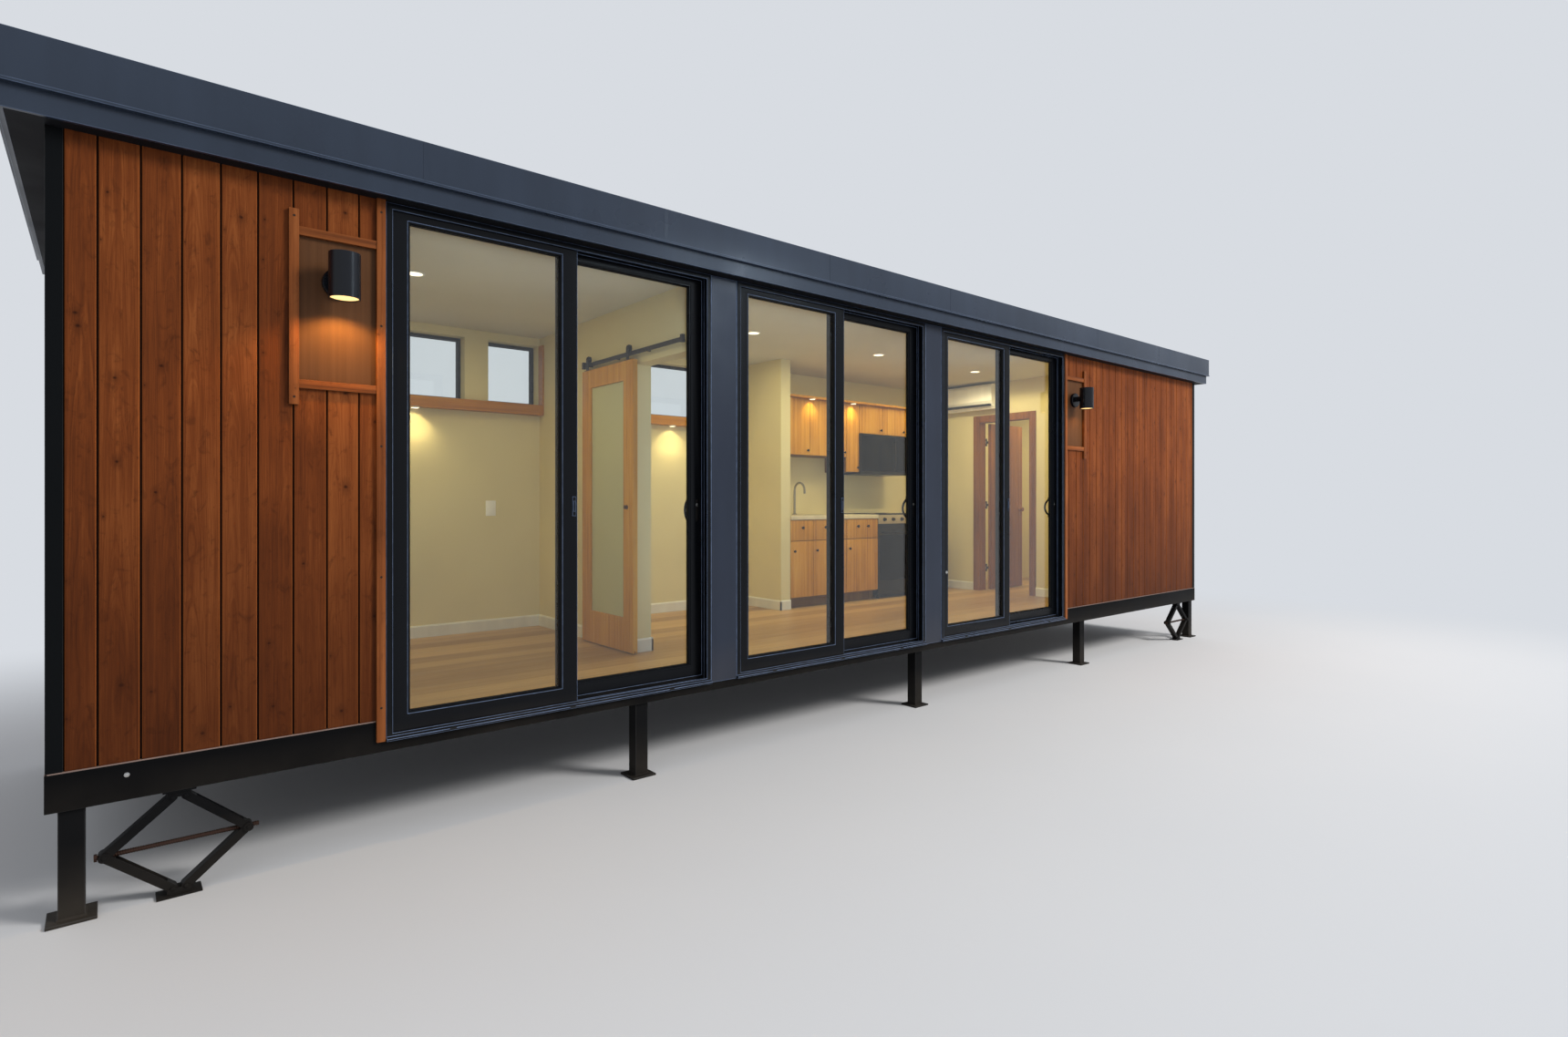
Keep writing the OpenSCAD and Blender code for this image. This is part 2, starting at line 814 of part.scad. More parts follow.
module window_glass() {
    color([0.8, 0.86, 0.85, 0.35])
        window_holes(-window_frame_w + 12 - fit, window_pane_y, window_pane_y + glass_t);
}

// The wooden ledge of the bedroom's windows with its upright end board, and that of the living room's
module window_ledges() {
    z1 = floor_z + window_z;
    board_t = 12;
    color("#b5763f") {
        union() {
            block([x_left + window_x[0] - 60, room_back - ledge_d, z1 - ledge_t], [bedroom_left, room_back, z1]);
            block([bedroom_left - board_t, room_back - ledge_d, z1 - 1], [bedroom_left, room_back, z1 + window_h]);
        }
        block([x_left + window_x[2] - 60, room_back - ledge_d, z1 - ledge_t],
              [x_left + window_x[2] + window_w[2] + 60, room_back, z1]);
    }
}

module partition_walls() {
    color("#ece5d3") {
        block([bedroom_left, room_front + passage_w, floor_z],
              [bedroom_left + partition_t, room_back, ceiling_z]);
        block([wing_left, room_back - wing_d, floor_z], [wing_left + partition_t, room_back, ceiling_z]);
        block([bath_left, room_front, floor_z],
              [bath_left + partition_t, room_front + bath_door_y, ceiling_z]);
        block([bath_left, room_front + bath_door_y + bath_door_w, floor_z],
              [bath_left + partition_t, room_back, ceiling_z]);
    }
}

module doorway_headers() {
    color("#ece5d3") {
        block([door_left, front_y + cladding_t, door_top], [door_right, room_front, wall_top]);
        block([bedroom_left, room_front, doorway_top],
              [bedroom_left + partition_t, room_front + passage_w, ceiling_z]);
        block([bath_left, room_front + bath_door_y, doorway_top],
              [bath_left + partition_t, room_front + bath_door_y + bath_door_w, ceiling_z]);
    }
}

// Centres of the two hangers along the hanging door
hanger_y = [80, barn_w - 80];

// One hanger on the door's top edge, with a side plate that carries its wheel over the track bar
module hanger() {
    foot_l = 90;
    plate_w = 36;
    plate_t = 5;
    wheel_t = 18;
    wheel_z = track_z + track_h + roller_gap + wheel_r;
    wheel_x = track_x + track_t / 2;
    union() {
        block([barn_x, -foot_l / 2, barn_top - 1], [barn_x + barn_t, foot_l / 2, barn_top + plate_t]);
        block([barn_x, -plate_w / 2, barn_top - 1], [barn_x + plate_t, plate_w / 2, wheel_z]);
        translate([barn_x, 0, wheel_z]) rotate([0, 90, 0]) cylinder(d = plate_w, h = plate_t, $fn = 64);
        translate([wheel_x - wheel_t / 2, 0, wheel_z]) rotate([0, 90, 0])
            cylinder(r = wheel_r, h = wheel_t, $fn = 64);
        translate([barn_x - 5, 0, wheel_z]) rotate([0, 90, 0])
            cylinder(d = 14, h = wheel_x - barn_x + wheel_t / 2 + 9, $fn = 32);
    }
}

module hanging_door() {
    z0 = barn_z;
    glass_x = barn_x + (barn_t - barn_glass_t) / 2;
    guide_x = barn_x + barn_t / 2;
    knob_in = 82;
    knob_z = 1015;
    color("#c58a4c") union() {
        difference() {
            block([barn_x, barn_y, z0], [barn_x + barn_t, barn_y + barn_w, barn_top]);
            block([barn_x - 1, barn_y + barn_stile, z0 + barn_bottom],
                  [barn_x + barn_t + 1, barn_y + barn_w - barn_stile, barn_top - barn_stile]);
            block([glass_x - fit, barn_y + barn_stile - 10, z0 + barn_bottom - 10],
                  [glass_x + barn_glass_t + fit, barn_y + barn_w - barn_stile + 10, barn_top - barn_stile + 10]);
            block([guide_x - 4, barn_y - 1, z0 - 1], [guide_x + 4, barn_y + barn_w + 1, z0 + 14]);
        }
        for (y = hanger_y) translate([0, barn_y + y, 0]) hanger();
        translate([barn_x - 20, barn_y + knob_in, floor_z + knob_z]) rotate([0, 90, 0])
            cylinder(d = 28, h = 21, $fn = 48);
    }
}

module hanging_door_glass() {
    z0 = barn_z;
    glass_x = barn_x + (barn_t - barn_glass_t) / 2;
    color([0.86, 0.88, 0.78, 0.6])
        block([glass_x, barn_y + barn_stile - 10 + fit, z0 + barn_bottom - 10 + fit],
              [glass_x + barn_glass_t, barn_y + barn_w - barn_stile + 10 - fit, barn_top - barn_stile + 10 - fit]);
}

// Track bar on its spacers, its end stops and the floor guide
module hanging_door_track() {
    y0 = room_front + 30;
    y1 = barn_y + barn_w + 20;
    spacer_count = 4;
    guide_x = barn_x + barn_t / 2;
    color("#24211f") {
        union() {
            block([track_x, y0, track_z], [track_x + track_t, y1, track_z + track_h]);
            for (i = [0 : spacer_count - 1])
                translate([track_x, y0 + 60 + i * (y1 - y0 - 120) / (spacer_count - 1), track_z + track_h / 2])
                    rotate([0, 90, 0]) cylinder(d = 18, h = bedroom_left - track_x, $fn = 32);
            for (y = [y0, y1 - 26])
                block([track_x - 8, y, track_z - 6], [track_x + track_t + 8, y + 26, track_z + track_h + 14]);
        }
        block([guide_x - 3, room_front + passage_w + 5, floor_z],
              [guide_x + 3, room_front + passage_w + 55, floor_z + 20]);
    }
}

jamb_t = 20;
hinge_r = 8;
hinge_x = bath_left + partition_t + hinge_r + 6;
hinge_y = room_front + bath_door_y + bath_door_w - jamb_t - 3;
knuckle_h = 30;
leaf_h = doorway_h - jamb_t - 6 - leaf_gap;
hinge_z = [floor_z + 250, floor_z + 1000, floor_z + 1750];
leaf_x = hinge_r + 6;
leaf_w = hinge_y - (room_front + bath_door_y + jamb_t + 8) - leaf_x;

// The hinged leaf stands open into the bathroom, square to the partition
module bathroom_door() {
    x0 = hinge_x + leaf_x;
    y1 = hinge_y - leaf_x;
    color("#a8622f") union() {
        block([x0, y1 - leaf_t, floor_z + leaf_gap], [x0 + leaf_w, y1, floor_z + leaf_gap + leaf_h]);
        for (z = hinge_z) {
            difference() {
                union() {
                    translate([hinge_x, hinge_y, z]) cylinder(r = hinge_r, h = knuckle_h, $fn = 48);
                    block([hinge_x, y1 - 4, z], [x0 + 48, y1 + 3, z + knuckle_h]);
                    block([hinge_x - 3, y1, z], [hinge_x + 3, hinge_y, z + knuckle_h]);
                }
                translate([hinge_x, hinge_y, z - 1]) cylinder(r = 3 + fit, h = knuckle_h + 2, $fn = 48);
            }
        }
        translate([x0 + leaf_w - 60, y1 - leaf_t - 50, floor_z + 960]) rotate([-90, 0, 0])
            cylinder(d = 50, h = leaf_t + 100, $fn = 48);
    }
}

// Jamb liner and casing in timber, with the hinge pins on the bathroom side
module bathroom_door_frame() {
    y0 = room_front + bath_door_y;
    y1 = y0 + bath_door_w;
    casing_w = 60;
    casing_t = 12;
    color("#a8622f") union() {
        difference() {
            union() {
                block([bath_left - casing_t, y0 + 2, floor_z],
                      [bath_left + partition_t, y1 - 2, doorway_top - 2]);
                block([bath_left - casing_t, y0 - casing_w, floor_z],
                      [bath_left, y1 + casing_w, doorway_top + casing_w]);
            }
            block([bath_left - casing_t - 1, y0 + jamb_t, floor_z - 1],
                  [bath_left + partition_t + 1, y1 - jamb_t, doorway_top - jamb_t]);
        }
        for (z = hinge_z) {
            translate([hinge_x, hinge_y, z - knuckle_h - fit]) cylinder(r = hinge_r, h = knuckle_h, $fn = 48);
            translate([hinge_x, hinge_y, z + knuckle_h + fit]) cylinder(r = hinge_r, h = knuckle_h, $fn = 48);
            translate([hinge_x, hinge_y, z - knuckle_h]) cylinder(r = 3, h = 3 * knuckle_h, $fn = 48);
            for (dz = [-knuckle_h - fit, knuckle_h + fit])
                block([bath_left + partition_t - 4, hinge_y - 1, z + dz],
                      [hinge_x, hinge_y + 4, z + dz + knuckle_h]);
        }
    }
}

module kitchen_units() {
    x1 = kitchen_left + kitchen_l;
    toe_h = 100;
    toe_d = 60;
    color("#c9975a") {
        difference() {
            union() {
                block([kitchen_left, room_back - counter_d + 20, floor_z + toe_h],
                      [x1, room_back, floor_z + counter_h - counter_t]);
                block([kitchen_left, room_back - counter_d + 20 + toe_d, floor_z],
                      [x1, room_back, floor_z + toe_h + 1]);
                block([kitchen_left, room_back - counter_d, floor_z + counter_h - counter_t - 1],
                      [x1, room_back, floor_z + counter_h]);
            }
            block([cooker_x - 1, room_back - counter_d - 1, floor_z - 1],
                  [cooker_x + cooker_w + 1, room_back + 1, floor_z + counter_h + 1]);
        }
        union() {
            block([kitchen_left, room_back - unit_d, floor_z + sink_unit_z],
                  [cooker_x - narrow_unit_w + 1, room_back, floor_z + unit_top]);
            block([cooker_x - narrow_unit_w, room_back - unit_d, floor_z + unit_z],
                  [cooker_x - fit, room_back, floor_z + unit_top]);
            block([cooker_x - 1, room_back - unit_d, floor_z + unit_z + hood_h],
                  [x1, room_back, floor_z + unit_top]);
        }
    }
}

// Swan-neck tap of the sink
module tap() {
    neck = 80;
    union() {
        cylinder(d = 50, h = 12, $fn = 48);
        cylinder(d = 26, h = 260, $fn = 48);
        translate([0, -neck, 260]) rotate([90, 0, 90])
            rotate_extrude(angle = 180, $fn = 96) translate([neck, 0]) circle(d = 22, $fn = 32);
        translate([0, -2 * neck, 225]) cylinder(d = 24, h = 36, $fn = 32);
    }
}

module kitchen_appliances() {
    color("#2a2c2e") {
        union() {
            block([cooker_x, room_back - counter_d + 5, floor_z + 40],
                  [cooker_x + cooker_w, room_back, floor_z + counter_h + 6]);
            for (x = [60, cooker_w - 60], y = [-counter_d + 60, -60])
                translate([cooker_x + x, room_back + y, floor_z]) cylinder(d = 40, h = 41, $fn = 32);
            translate([cooker_x + 50, room_back - counter_d - 30, floor_z + 720]) rotate([0, 90, 0])
                cylinder(d = 16, h = cooker_w - 100, $fn = 32);
            for (x = [60, cooker_w - 60])
                translate([cooker_x + x, room_back - counter_d - 30, floor_z + 720]) rotate([-90, 0, 0])
                    cylinder(d = 12, h = 40, $fn = 32);
        }
        block([cooker_x, room_back - unit_d - 40, floor_z + unit_z - 20],
              [cooker_x + cooker_w, room_back, floor_z + unit_z + hood_h - fit]);
        translate([kitchen_left + 520, room_back - 90, floor_z + counter_h + fit]) tap();
    }
}

module air_conditioner() {
    ac_l = 800;
    ac_h = 280;
    ac_d = 200;
    y0 = room_front + 1200;
    z0 = floor_z + room_h - ac_h - 30;
    color("#f0efe9") translate([bath_left, y0 + ac_l, z0]) rotate([90, 0, 0]) linear_extrude(ac_l)
        polygon([[0, 20], [0, ac_h], [-ac_d + 25, ac_h], [-ac_d, ac_h - 30], [-ac_d, 90], [-ac_d + 70, 0],
                 [-60, 0]]);
}

chassis_rails();
chassis_cross_members();
support_legs();
scissor_jacks();
jack_screws();
floor();
front_wall();
back_wall();
left_end_wall();
right_end_wall();
front_cladding();
back_cladding();
end_cladding();
corner_trims();
door_pilasters();
roof_structure();
upper_fascia();
lower_fascia();
soffit();
ceiling();
door_frames();
fixed_panels();
fixed_glass();
sliding_panel_1();
sliding_panel_2();
sliding_panel_3();
sliding_glass_1();
sliding_glass_2();
sliding_glass_3();
lamp_battens();
lamp_panels();
wall_lamps();
window_frames();
window_glass();
window_ledges();
partition_walls();
doorway_headers();
hanging_door();
hanging_door_glass();
hanging_door_track();
bathroom_door();
bathroom_door_frame();
kitchen_units();
kitchen_appliances();
air_conditioner();
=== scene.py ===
"""Looks of a timber clad modular cabin on a raised steel chassis. Metres, doors face -Y, ground at zero."""
from math import cos, pi, radians, sin

import bmesh
import bpy
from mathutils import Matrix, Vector


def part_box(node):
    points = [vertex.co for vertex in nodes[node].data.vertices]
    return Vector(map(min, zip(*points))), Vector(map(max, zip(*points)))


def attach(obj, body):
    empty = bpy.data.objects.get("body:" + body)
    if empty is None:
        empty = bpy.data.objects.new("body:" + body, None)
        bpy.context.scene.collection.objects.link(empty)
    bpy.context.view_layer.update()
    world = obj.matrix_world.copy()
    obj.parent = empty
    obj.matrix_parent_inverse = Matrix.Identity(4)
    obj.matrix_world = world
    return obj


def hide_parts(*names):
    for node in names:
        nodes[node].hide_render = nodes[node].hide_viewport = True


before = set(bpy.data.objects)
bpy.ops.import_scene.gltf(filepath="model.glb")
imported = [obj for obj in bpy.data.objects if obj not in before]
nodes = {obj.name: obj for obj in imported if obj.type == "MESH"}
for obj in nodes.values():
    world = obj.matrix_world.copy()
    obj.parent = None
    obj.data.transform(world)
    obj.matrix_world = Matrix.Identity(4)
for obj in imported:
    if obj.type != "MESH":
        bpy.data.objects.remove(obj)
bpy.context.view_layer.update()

# ---------------- places taken from the CAD solids

PITCH = 0.1302  # cladding boards
CORNER = 0.048  # what a corner trim hides of a wall's length
BATTEN = 0.038  # width of a lamp frame's battens
LAMP_R = 0.0635  # wall lamp's cylinder
UNIT_W, UNIT_STEP = 1.855, 2.055  # glass door units
OVERHANG = 0.11  # fascia's face off the cladding
LEG = 0.08  # side of a support leg

front_y, back_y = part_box("front_cladding")[0].y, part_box("back_cladding")[1].y
boards_low, boards_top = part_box("front_cladding")[0].z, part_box("front_cladding")[1].z
x_left, x_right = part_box("left_end_wall")[0].x - 0.02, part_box("right_end_wall")[1].x + 0.02
room_left, ceiling_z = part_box("ceiling")[0].x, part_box("ceiling")[0].z
room_front, room_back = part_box("ceiling")[0].y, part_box("ceiling")[1].y
floor_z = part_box("floor")[1].z
rail_low, rail_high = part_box("chassis_rails")
door_low, door_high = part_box("door_frames")
panel_low, panel_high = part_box("lamp_panels")
lamp_low, lamp_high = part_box("wall_lamps")
window_low, window_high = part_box("window_frames")
roof_low, roof_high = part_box("roof_structure")
ac_low, ac_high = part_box("air_conditioner")
units = [door_low.x + i * UNIT_STEP for i in range(3)]
frame_y = door_low.y + 0.018
fixed_face, sash_face, sash_back = frame_y + 0.015, frame_y + 0.071, frame_y + 0.111
partition_x, bath_x = x_left + 2.985, x_left + 8.08
kitchen_x, kitchen_end = x_left + 5.273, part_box("kitchen_units")[1].x
cooker_x = kitchen_x + 1.247
counter_z = floor_z + 0.914
first_joint = x_left + 0.147
middle_y, half_y = (front_y + back_y) / 2, (back_y - front_y) / 2


# ---------------- materials

def rgb(r, g, b):
    """A colour given by its 0 to 255 screen values."""
    def lin(c):
        c /= 255
        return c / 12.92 if c <= 0.04045 else ((c + 0.055) / 1.055) ** 2.4
    return (lin(r), lin(g), lin(b), 1.0)


def times(colour, factor):
    return tuple(c * factor for c in colour[:3]) + (1.0,)


class Material:
    """A Principled material with short calls for its nodes."""

    def __init__(self, name, **values):
        self.material = bpy.data.materials.new(name)
        self.material.use_nodes = True
        self.tree = self.material.node_tree
        self.shader = self.tree.nodes["Principled BSDF"]
        for key, value in values.items():
            self.shader.inputs[key.replace("_", " ")].default_value = value
        self.place = self.node("ShaderNodeTexCoord").outputs["Object"]

    def node(self, kind, inputs=None, **settings):
        made = self.tree.nodes.new(kind)
        for key, value in settings.items():
            setattr(made, key, value)
        for key, value in (inputs or {}).items():
            if isinstance(value, bpy.types.NodeSocket):
                self.tree.links.new(value, made.inputs[key])
            else:
                made.inputs[key].default_value = value
        return made

    def set(self, key, value):
        self.tree.links.new(value, self.shader.inputs[key])

    def calc(self, operation, a, b=0.0, c=0.0):
        return self.node("ShaderNodeMath", {0: a, 1: b, 2: c}, operation=operation).outputs[0]

    def add(self, first, *others):
        for other in others:
            first = self.calc("ADD", first, other)
        return first

    def take(self, a, b):
        return self.calc("SUBTRACT", a, b)

    def scale(self, value, factor):
        return self.calc("MULTIPLY", value, factor)

    def parts(self, vector=None):
        made = self.node("ShaderNodeSeparateXYZ", {0: vector or self.place})
        return made.outputs[0], made.outputs[1], made.outputs[2]

    def vector(self, x=0.0, y=0.0, z=0.0):
        return self.node("ShaderNodeCombineXYZ", {0: x, 1: y, 2: z}).outputs[0]

    def noise(self, vector=None, scale=1.0, detail=3.0, rough=0.55, warp=0.0):
        inputs = {"Vector": vector or self.place, "Scale": scale, "Detail": detail, "Roughness": rough,
                  "Distortion": warp}
        return self.node("ShaderNodeTexNoise", inputs).outputs["Fac"]

    def spread(self, value, low, high, to_low=0.0, to_high=1.0):
        inputs = {0: value, 1: low, 2: high, 3: to_low, 4: to_high}
        return self.node("ShaderNodeMapRange", inputs).outputs[0]

    def mix(self, factor, a, b, kind="MIX"):
        inputs = {0: factor, 6: a, 7: b}
        return self.node("ShaderNodeMix", inputs, data_type="RGBA", blend_type=kind).outputs[2]

    def shade(self, colour, value):
        """Multiplies a colour by a plain value."""
        return self.mix(1.0, colour, self.vector(value, value, value), "MULTIPLY")

    def edge(self):
        """One on the softened edges of a shape, zero elsewhere."""
        return self.node("ShaderNodeAttribute", attribute_name="edge").outputs["Fac"]

    def bump(self, height, distance):
        self.set("Normal", self.node("ShaderNodeBump", {"Height": height, "Distance": distance}).outputs[0])

    def swap(self, swaps, axis, colour, shine, shade):
        """Other finishes past limits, each given as (axis, limit, side, colour, roughness)."""
        for letter, limit, way, other, rough in swaps:
            past = self.calc("GREATER_THAN" if way > 0 else "LESS_THAN", axis[letter], limit)
            colour = self.mix(past, colour, self.shade(other, shade))
            shine = self.add(self.scale(shine, self.take(1.0, past)), self.scale(past, rough))
        return colour, shine


KNOTS_ACROSS, KNOTS_ALONG = 7.7, 3.1    # cells a metre, each with one knot


def wood(name, along, tones, across="X", pitch=0.0, start=0.0, rough=0.5, varied=0.3, contrast=1.0,
         knots=0.0, groove=None, seam=0.0, darker_low=None, spec=0.25, swaps=()):
    """Timber with its grain along one axis.

    Each board of the given pitch has a tone of its own. Grooves get painted shade by their depth under the
    faces, and the top of their chamfers a painted highlight, at groove = (axis, centre, half). A tuple (low,
    high, amount) darkens the boards towards the bottom. Swaps: Material.swap.
    """
    dark, mid, light = tones
    m = Material(name, Specular_IOR_Level=spec)
    axis = dict(zip("XYZ", m.parts()))
    side, length = axis[across], axis[along]
    depth = axis[({"X", "Y", "Z"} - {along, across}).pop()]
    raw = length
    if pitch:
        place = m.calc("DIVIDE", m.take(side, start), pitch)
        board = {"W": m.calc("FLOOR", place)}
        tone = m.node("ShaderNodeTexWhiteNoise", board, noise_dimensions="1D").outputs["Value"]
        length = m.add(length, m.scale(tone, 53.0))
    else:
        tone = m.noise(scale=0.9, detail=0)
    # round knots, a few to a board
    grid = {"Vector": m.vector(m.scale(side, KNOTS_ACROSS), m.scale(length, KNOTS_ALONG)), "Scale": 1.0}
    cell = m.node("ShaderNodeTexVoronoi", grid, voronoi_dimensions="2D")
    at = m.parts(cell.outputs["Position"])
    off_side = m.take(side, m.scale(at[0], 1 / KNOTS_ACROSS))
    off_length = m.take(length, m.scale(at[1], 1 / KNOTS_ALONG))
    radius = m.spread(m.parts(cell.outputs["Color"])[0], 0.25, 1.0, 0.0006, 0.0082)
    wobble = m.noise(m.vector(m.scale(side, 90.0), m.scale(length, 60.0)), 1.0, 2)

    def ring(stretch, start_at, end_at, amount):
        drawn = m.scale(m.scale(off_length, off_length), stretch)
        away = m.calc("SQRT", m.add(m.scale(off_side, off_side), drawn))
        away = m.add(m.calc("DIVIDE", away, radius), m.scale(wobble, amount))
        return m.scale(m.spread(away, start_at, end_at, 1.0, 0.0), knots)

    def grain(sideways, across_scale, along_scale, detail, roughness, warp=0.0):
        """Noise drawn out along the grain."""
        drawn = m.vector(m.scale(sideways, across_scale), m.scale(depth, across_scale),
                         m.scale(length, along_scale))
        return m.noise(drawn, 1.0, detail, roughness, warp)

    knot, halo = ring(1.3, 0.8, 1.9, 1.0), ring(0.3, 1.5, 4.8, 2.2)
    figure = m.scale(m.spread(grain(side, 24.0, 15.0, 4, 0.6, 1.0), 0.56, 0.72), 0.5 * knots)
    # streaks, growth bands and fibres, pushed aside round the knots
    bent = m.add(side, m.scale(m.scale(off_side, halo), 0.8))
    band = grain(bent, 46.0, 0.9, 2, 0.5, 0.3)
    streak = grain(bent, 150.0, 3.2, 3, 0.6)
    fibre = grain(bent, 620.0, 16.0, 2, 0.6)
    blotch = grain(side, 5.0, 1.9, 3, 0.5)
    arch = band
    if pitch:
        local = m.scale(m.take(m.calc("FRACT", place), 0.5), pitch)
        local = m.add(local, m.scale(tone, 0.08), -0.04)
        rise = m.add(m.scale(m.scale(local, local), 330.0), m.scale(length, 0.6), m.scale(blotch, 0.9))
        arch = m.noise(m.vector(m.scale(rise, 11.0), m.scale(tone, 40.0)), 1.0, 2, 0.6)
    pattern = m.add(m.scale(band, 0.38 * contrast), m.scale(arch, 0.5 * contrast),
                    m.scale(streak, 0.45 * contrast), m.scale(fibre, 0.22 * contrast),
                    m.scale(blotch, 0.5 * contrast), m.scale(tone, varied))
    centre, reach = 1.025 * contrast + varied / 2, 0.34
    colour = m.mix(m.spread(pattern, centre - reach, centre), dark, mid)
    colour = m.mix(m.spread(pattern, centre, centre + reach), colour, light)
    colour = m.mix(m.calc("MAXIMUM", m.scale(halo, 0.5), figure), colour, times(dark, 0.7))
    colour = m.mix(m.scale(knot, 0.85), colour, times(dark, 0.3))
    colour = m.mix(m.scale(m.edge(), m.spread(blotch, 0.4, 0.6, 0.1, 0.5)), colour, light)
    if seam:
        off_middle = m.calc("ABSOLUTE", m.take(m.calc("FRACT", place), 0.5))
        line = m.spread(off_middle, 0.5 - seam * 1.5, 0.5 - seam * 0.5)
        colour = m.mix(m.scale(line, 0.7), colour, times(dark, 0.35))
    # the boards get darker towards the bottom
    if darker_low:
        low, high, amount = darker_low
        foot = m.scale(m.spread(m.add(raw, m.scale(blotch, 0.5)), low, high, 1.0, 0.0), amount)
        colour = m.mix(foot, colour, times(dark, 0.55))
    if groove:
        letter, middle, half = groove
        # painted shade down in each groove by its depth, and a painted highlight along the top of its
        # chamfers
        under = m.take(half, m.calc("ABSOLUTE", m.take(axis[letter], middle)))
        chamfer_highlight = m.scale(m.spread(under, 0.0001, 0.0008), m.spread(under, 0.0014, 0.002, 1.0, 0.0))
        colour = m.mix(m.scale(chamfer_highlight, 0.75), colour, times(light, 1.4))
        colour = m.mix(m.spread(under, 0.0014, 0.006, 0.0, 0.95), colour, times(dark, 0.28))
    shine = m.spread(streak, 0.3, 0.7, rough - 0.06, rough + 0.1)
    if swaps:
        grime = m.spread(blotch, 0.35, 0.65, 0.85, 1.15)
        colour, shine = m.swap(swaps, axis, colour, shine, grime)
    m.set("Base Color", colour)
    m.set("Roughness", shine)
    m.bump(m.add(m.scale(fibre, 0.5), m.scale(streak, 0.5), m.scale(knot, -0.6)), 0.0005)
    return m.material


def paint(name, colour, rough=0.42, metallic=0.0, grit=0.08, dust=0.0, low=0.0, high=0.7, spec=0.35,
          edge_wear_and_glint=0.25, waves=0.0, grain=0.00012, glint=None, swaps=()):
    """Coated metal: uneven colour and gloss, fine texture, worn edges with a painted highlight and dust that
    settles low down.
    """
    m = Material(name, Metallic=metallic, Specular_IOR_Level=spec)
    axis = dict(zip("XYZ", m.parts()))
    cloud = m.noise(scale=2.3, detail=4)
    fine = m.noise(scale=260.0, detail=2)
    smear = m.noise(m.vector(m.scale(axis["X"], 9.0), m.scale(axis["Y"], 9.0), m.scale(axis["Z"], 1.5)))
    patches = m.spread(m.noise(scale=0.9, detail=2), 0.3, 0.7, 1.0 - grit, 1.0 + grit)
    made = m.shade(colour, m.scale(patches, m.spread(smear, 0.3, 0.7, 0.93, 1.07)))
    if dust:
        settled = m.spread(axis["Z"], low, high, 1.0, 0.0)
        settled = m.scale(settled, m.spread(cloud, 0.35, 0.75, 0.15, 1.0))
        made = m.mix(m.scale(settled, dust), made, rgb(122, 112, 100))
    # worn edges, lightened in part as a painted highlight, in the glint colour when one is given
    edge_wear_and_highlight = m.scale(m.edge(), m.spread(m.noise(scale=21.0, detail=3), 0.35, 0.65, 0.65, 1.0))
    pale = tuple(min(1.0, c * 2.2 + 0.08) for c in colour[:3]) + (1.0,)
    made = m.mix(m.scale(edge_wear_and_highlight, edge_wear_and_glint), made, glint or pale)
    shine = m.spread(cloud, 0.3, 0.7, rough - 0.06, rough + 0.08)
    if swaps:
        made, shine = m.swap(swaps, axis, made, shine, m.spread(cloud, 0.3, 0.7, 0.92, 1.08))
    m.set("Base Color", made)
    m.set("Roughness", shine)
    m.bump(m.add(m.scale(fine, grain), m.scale(m.noise(scale=1.7, detail=1), waves)), 1.0)
    return m.material


def plaster(name, colour):
    m = Material(name, Specular_IOR_Level=0.3)
    fine = m.noise(scale=180.0, detail=3)
    m.set("Base Color", m.shade(colour, m.spread(m.noise(scale=1.3, detail=3), 0.3, 0.7, 0.95, 1.04)))
    m.set("Roughness", m.spread(fine, 0.3, 0.7, 0.75, 0.85))
    m.bump(fine, 0.0004)
    return m.material


def glass(name, tint, rough=0.0, smudge=0.015, through=1.0):
    m = Material(name, Transmission_Weight=through, IOR=1.45)
    cloud = m.noise(scale=3.1, detail=5, rough=0.65)
    m.set("Base Color", m.mix(m.spread(cloud, 0.4, 0.75, 0.0, 0.25), tint, times(tint, 0.93)))
    m.set("Roughness", m.spread(cloud, 0.45, 0.8, rough, rough + smudge))
    return m.material


def glow(name, colour, strength):
    m = Material(name, Roughness=0.4, Emission_Strength=strength)
    shade = m.spread(m.noise(scale=40.0), 0.3, 0.7, 0.85, 1.0)
    m.set("Base Color", m.mix(shade, times(colour, 0.8), colour))
    m.set("Emission Color", m.mix(shade, times(colour, 0.85), colour))
    return m.material


def rubber(name):
    m = Material(name)
    cloud = m.noise(scale=30.0, detail=4)
    m.set("Base Color", m.mix(cloud, rgb(5, 5, 6), rgb(16, 16, 18)))
    m.set("Roughness", m.spread(cloud, 0.3, 0.7, 0.6, 0.8))
    return m.material


# dark, middle and light tones of each timber
cedar_tones = (rgb(68, 32, 13), rgb(105, 53, 22), rgb(138, 78, 38))
batten_tones = (rgb(84, 43, 17), rgb(121, 66, 30), rgb(147, 89, 47))
panel_tones = (rgb(70, 45, 27), rgb(86, 56, 34), rgb(97, 66, 42))
honey_tones = (rgb(152, 97, 24), rgb(195, 136, 44), rgb(218, 167, 72))
ledge_tones = (rgb(140, 84, 16), rgb(178, 116, 28), rgb(200, 140, 44))
brown_tones = (rgb(96, 54, 12), rgb(132, 80, 22), rgb(158, 104, 36))
oak_tones = (rgb(142, 105, 58), rgb(174, 136, 82), rgb(194, 156, 100))
iron, bronze, underside = rgb(22, 20, 19), rgb(46, 37, 30), rgb(60, 56, 52)

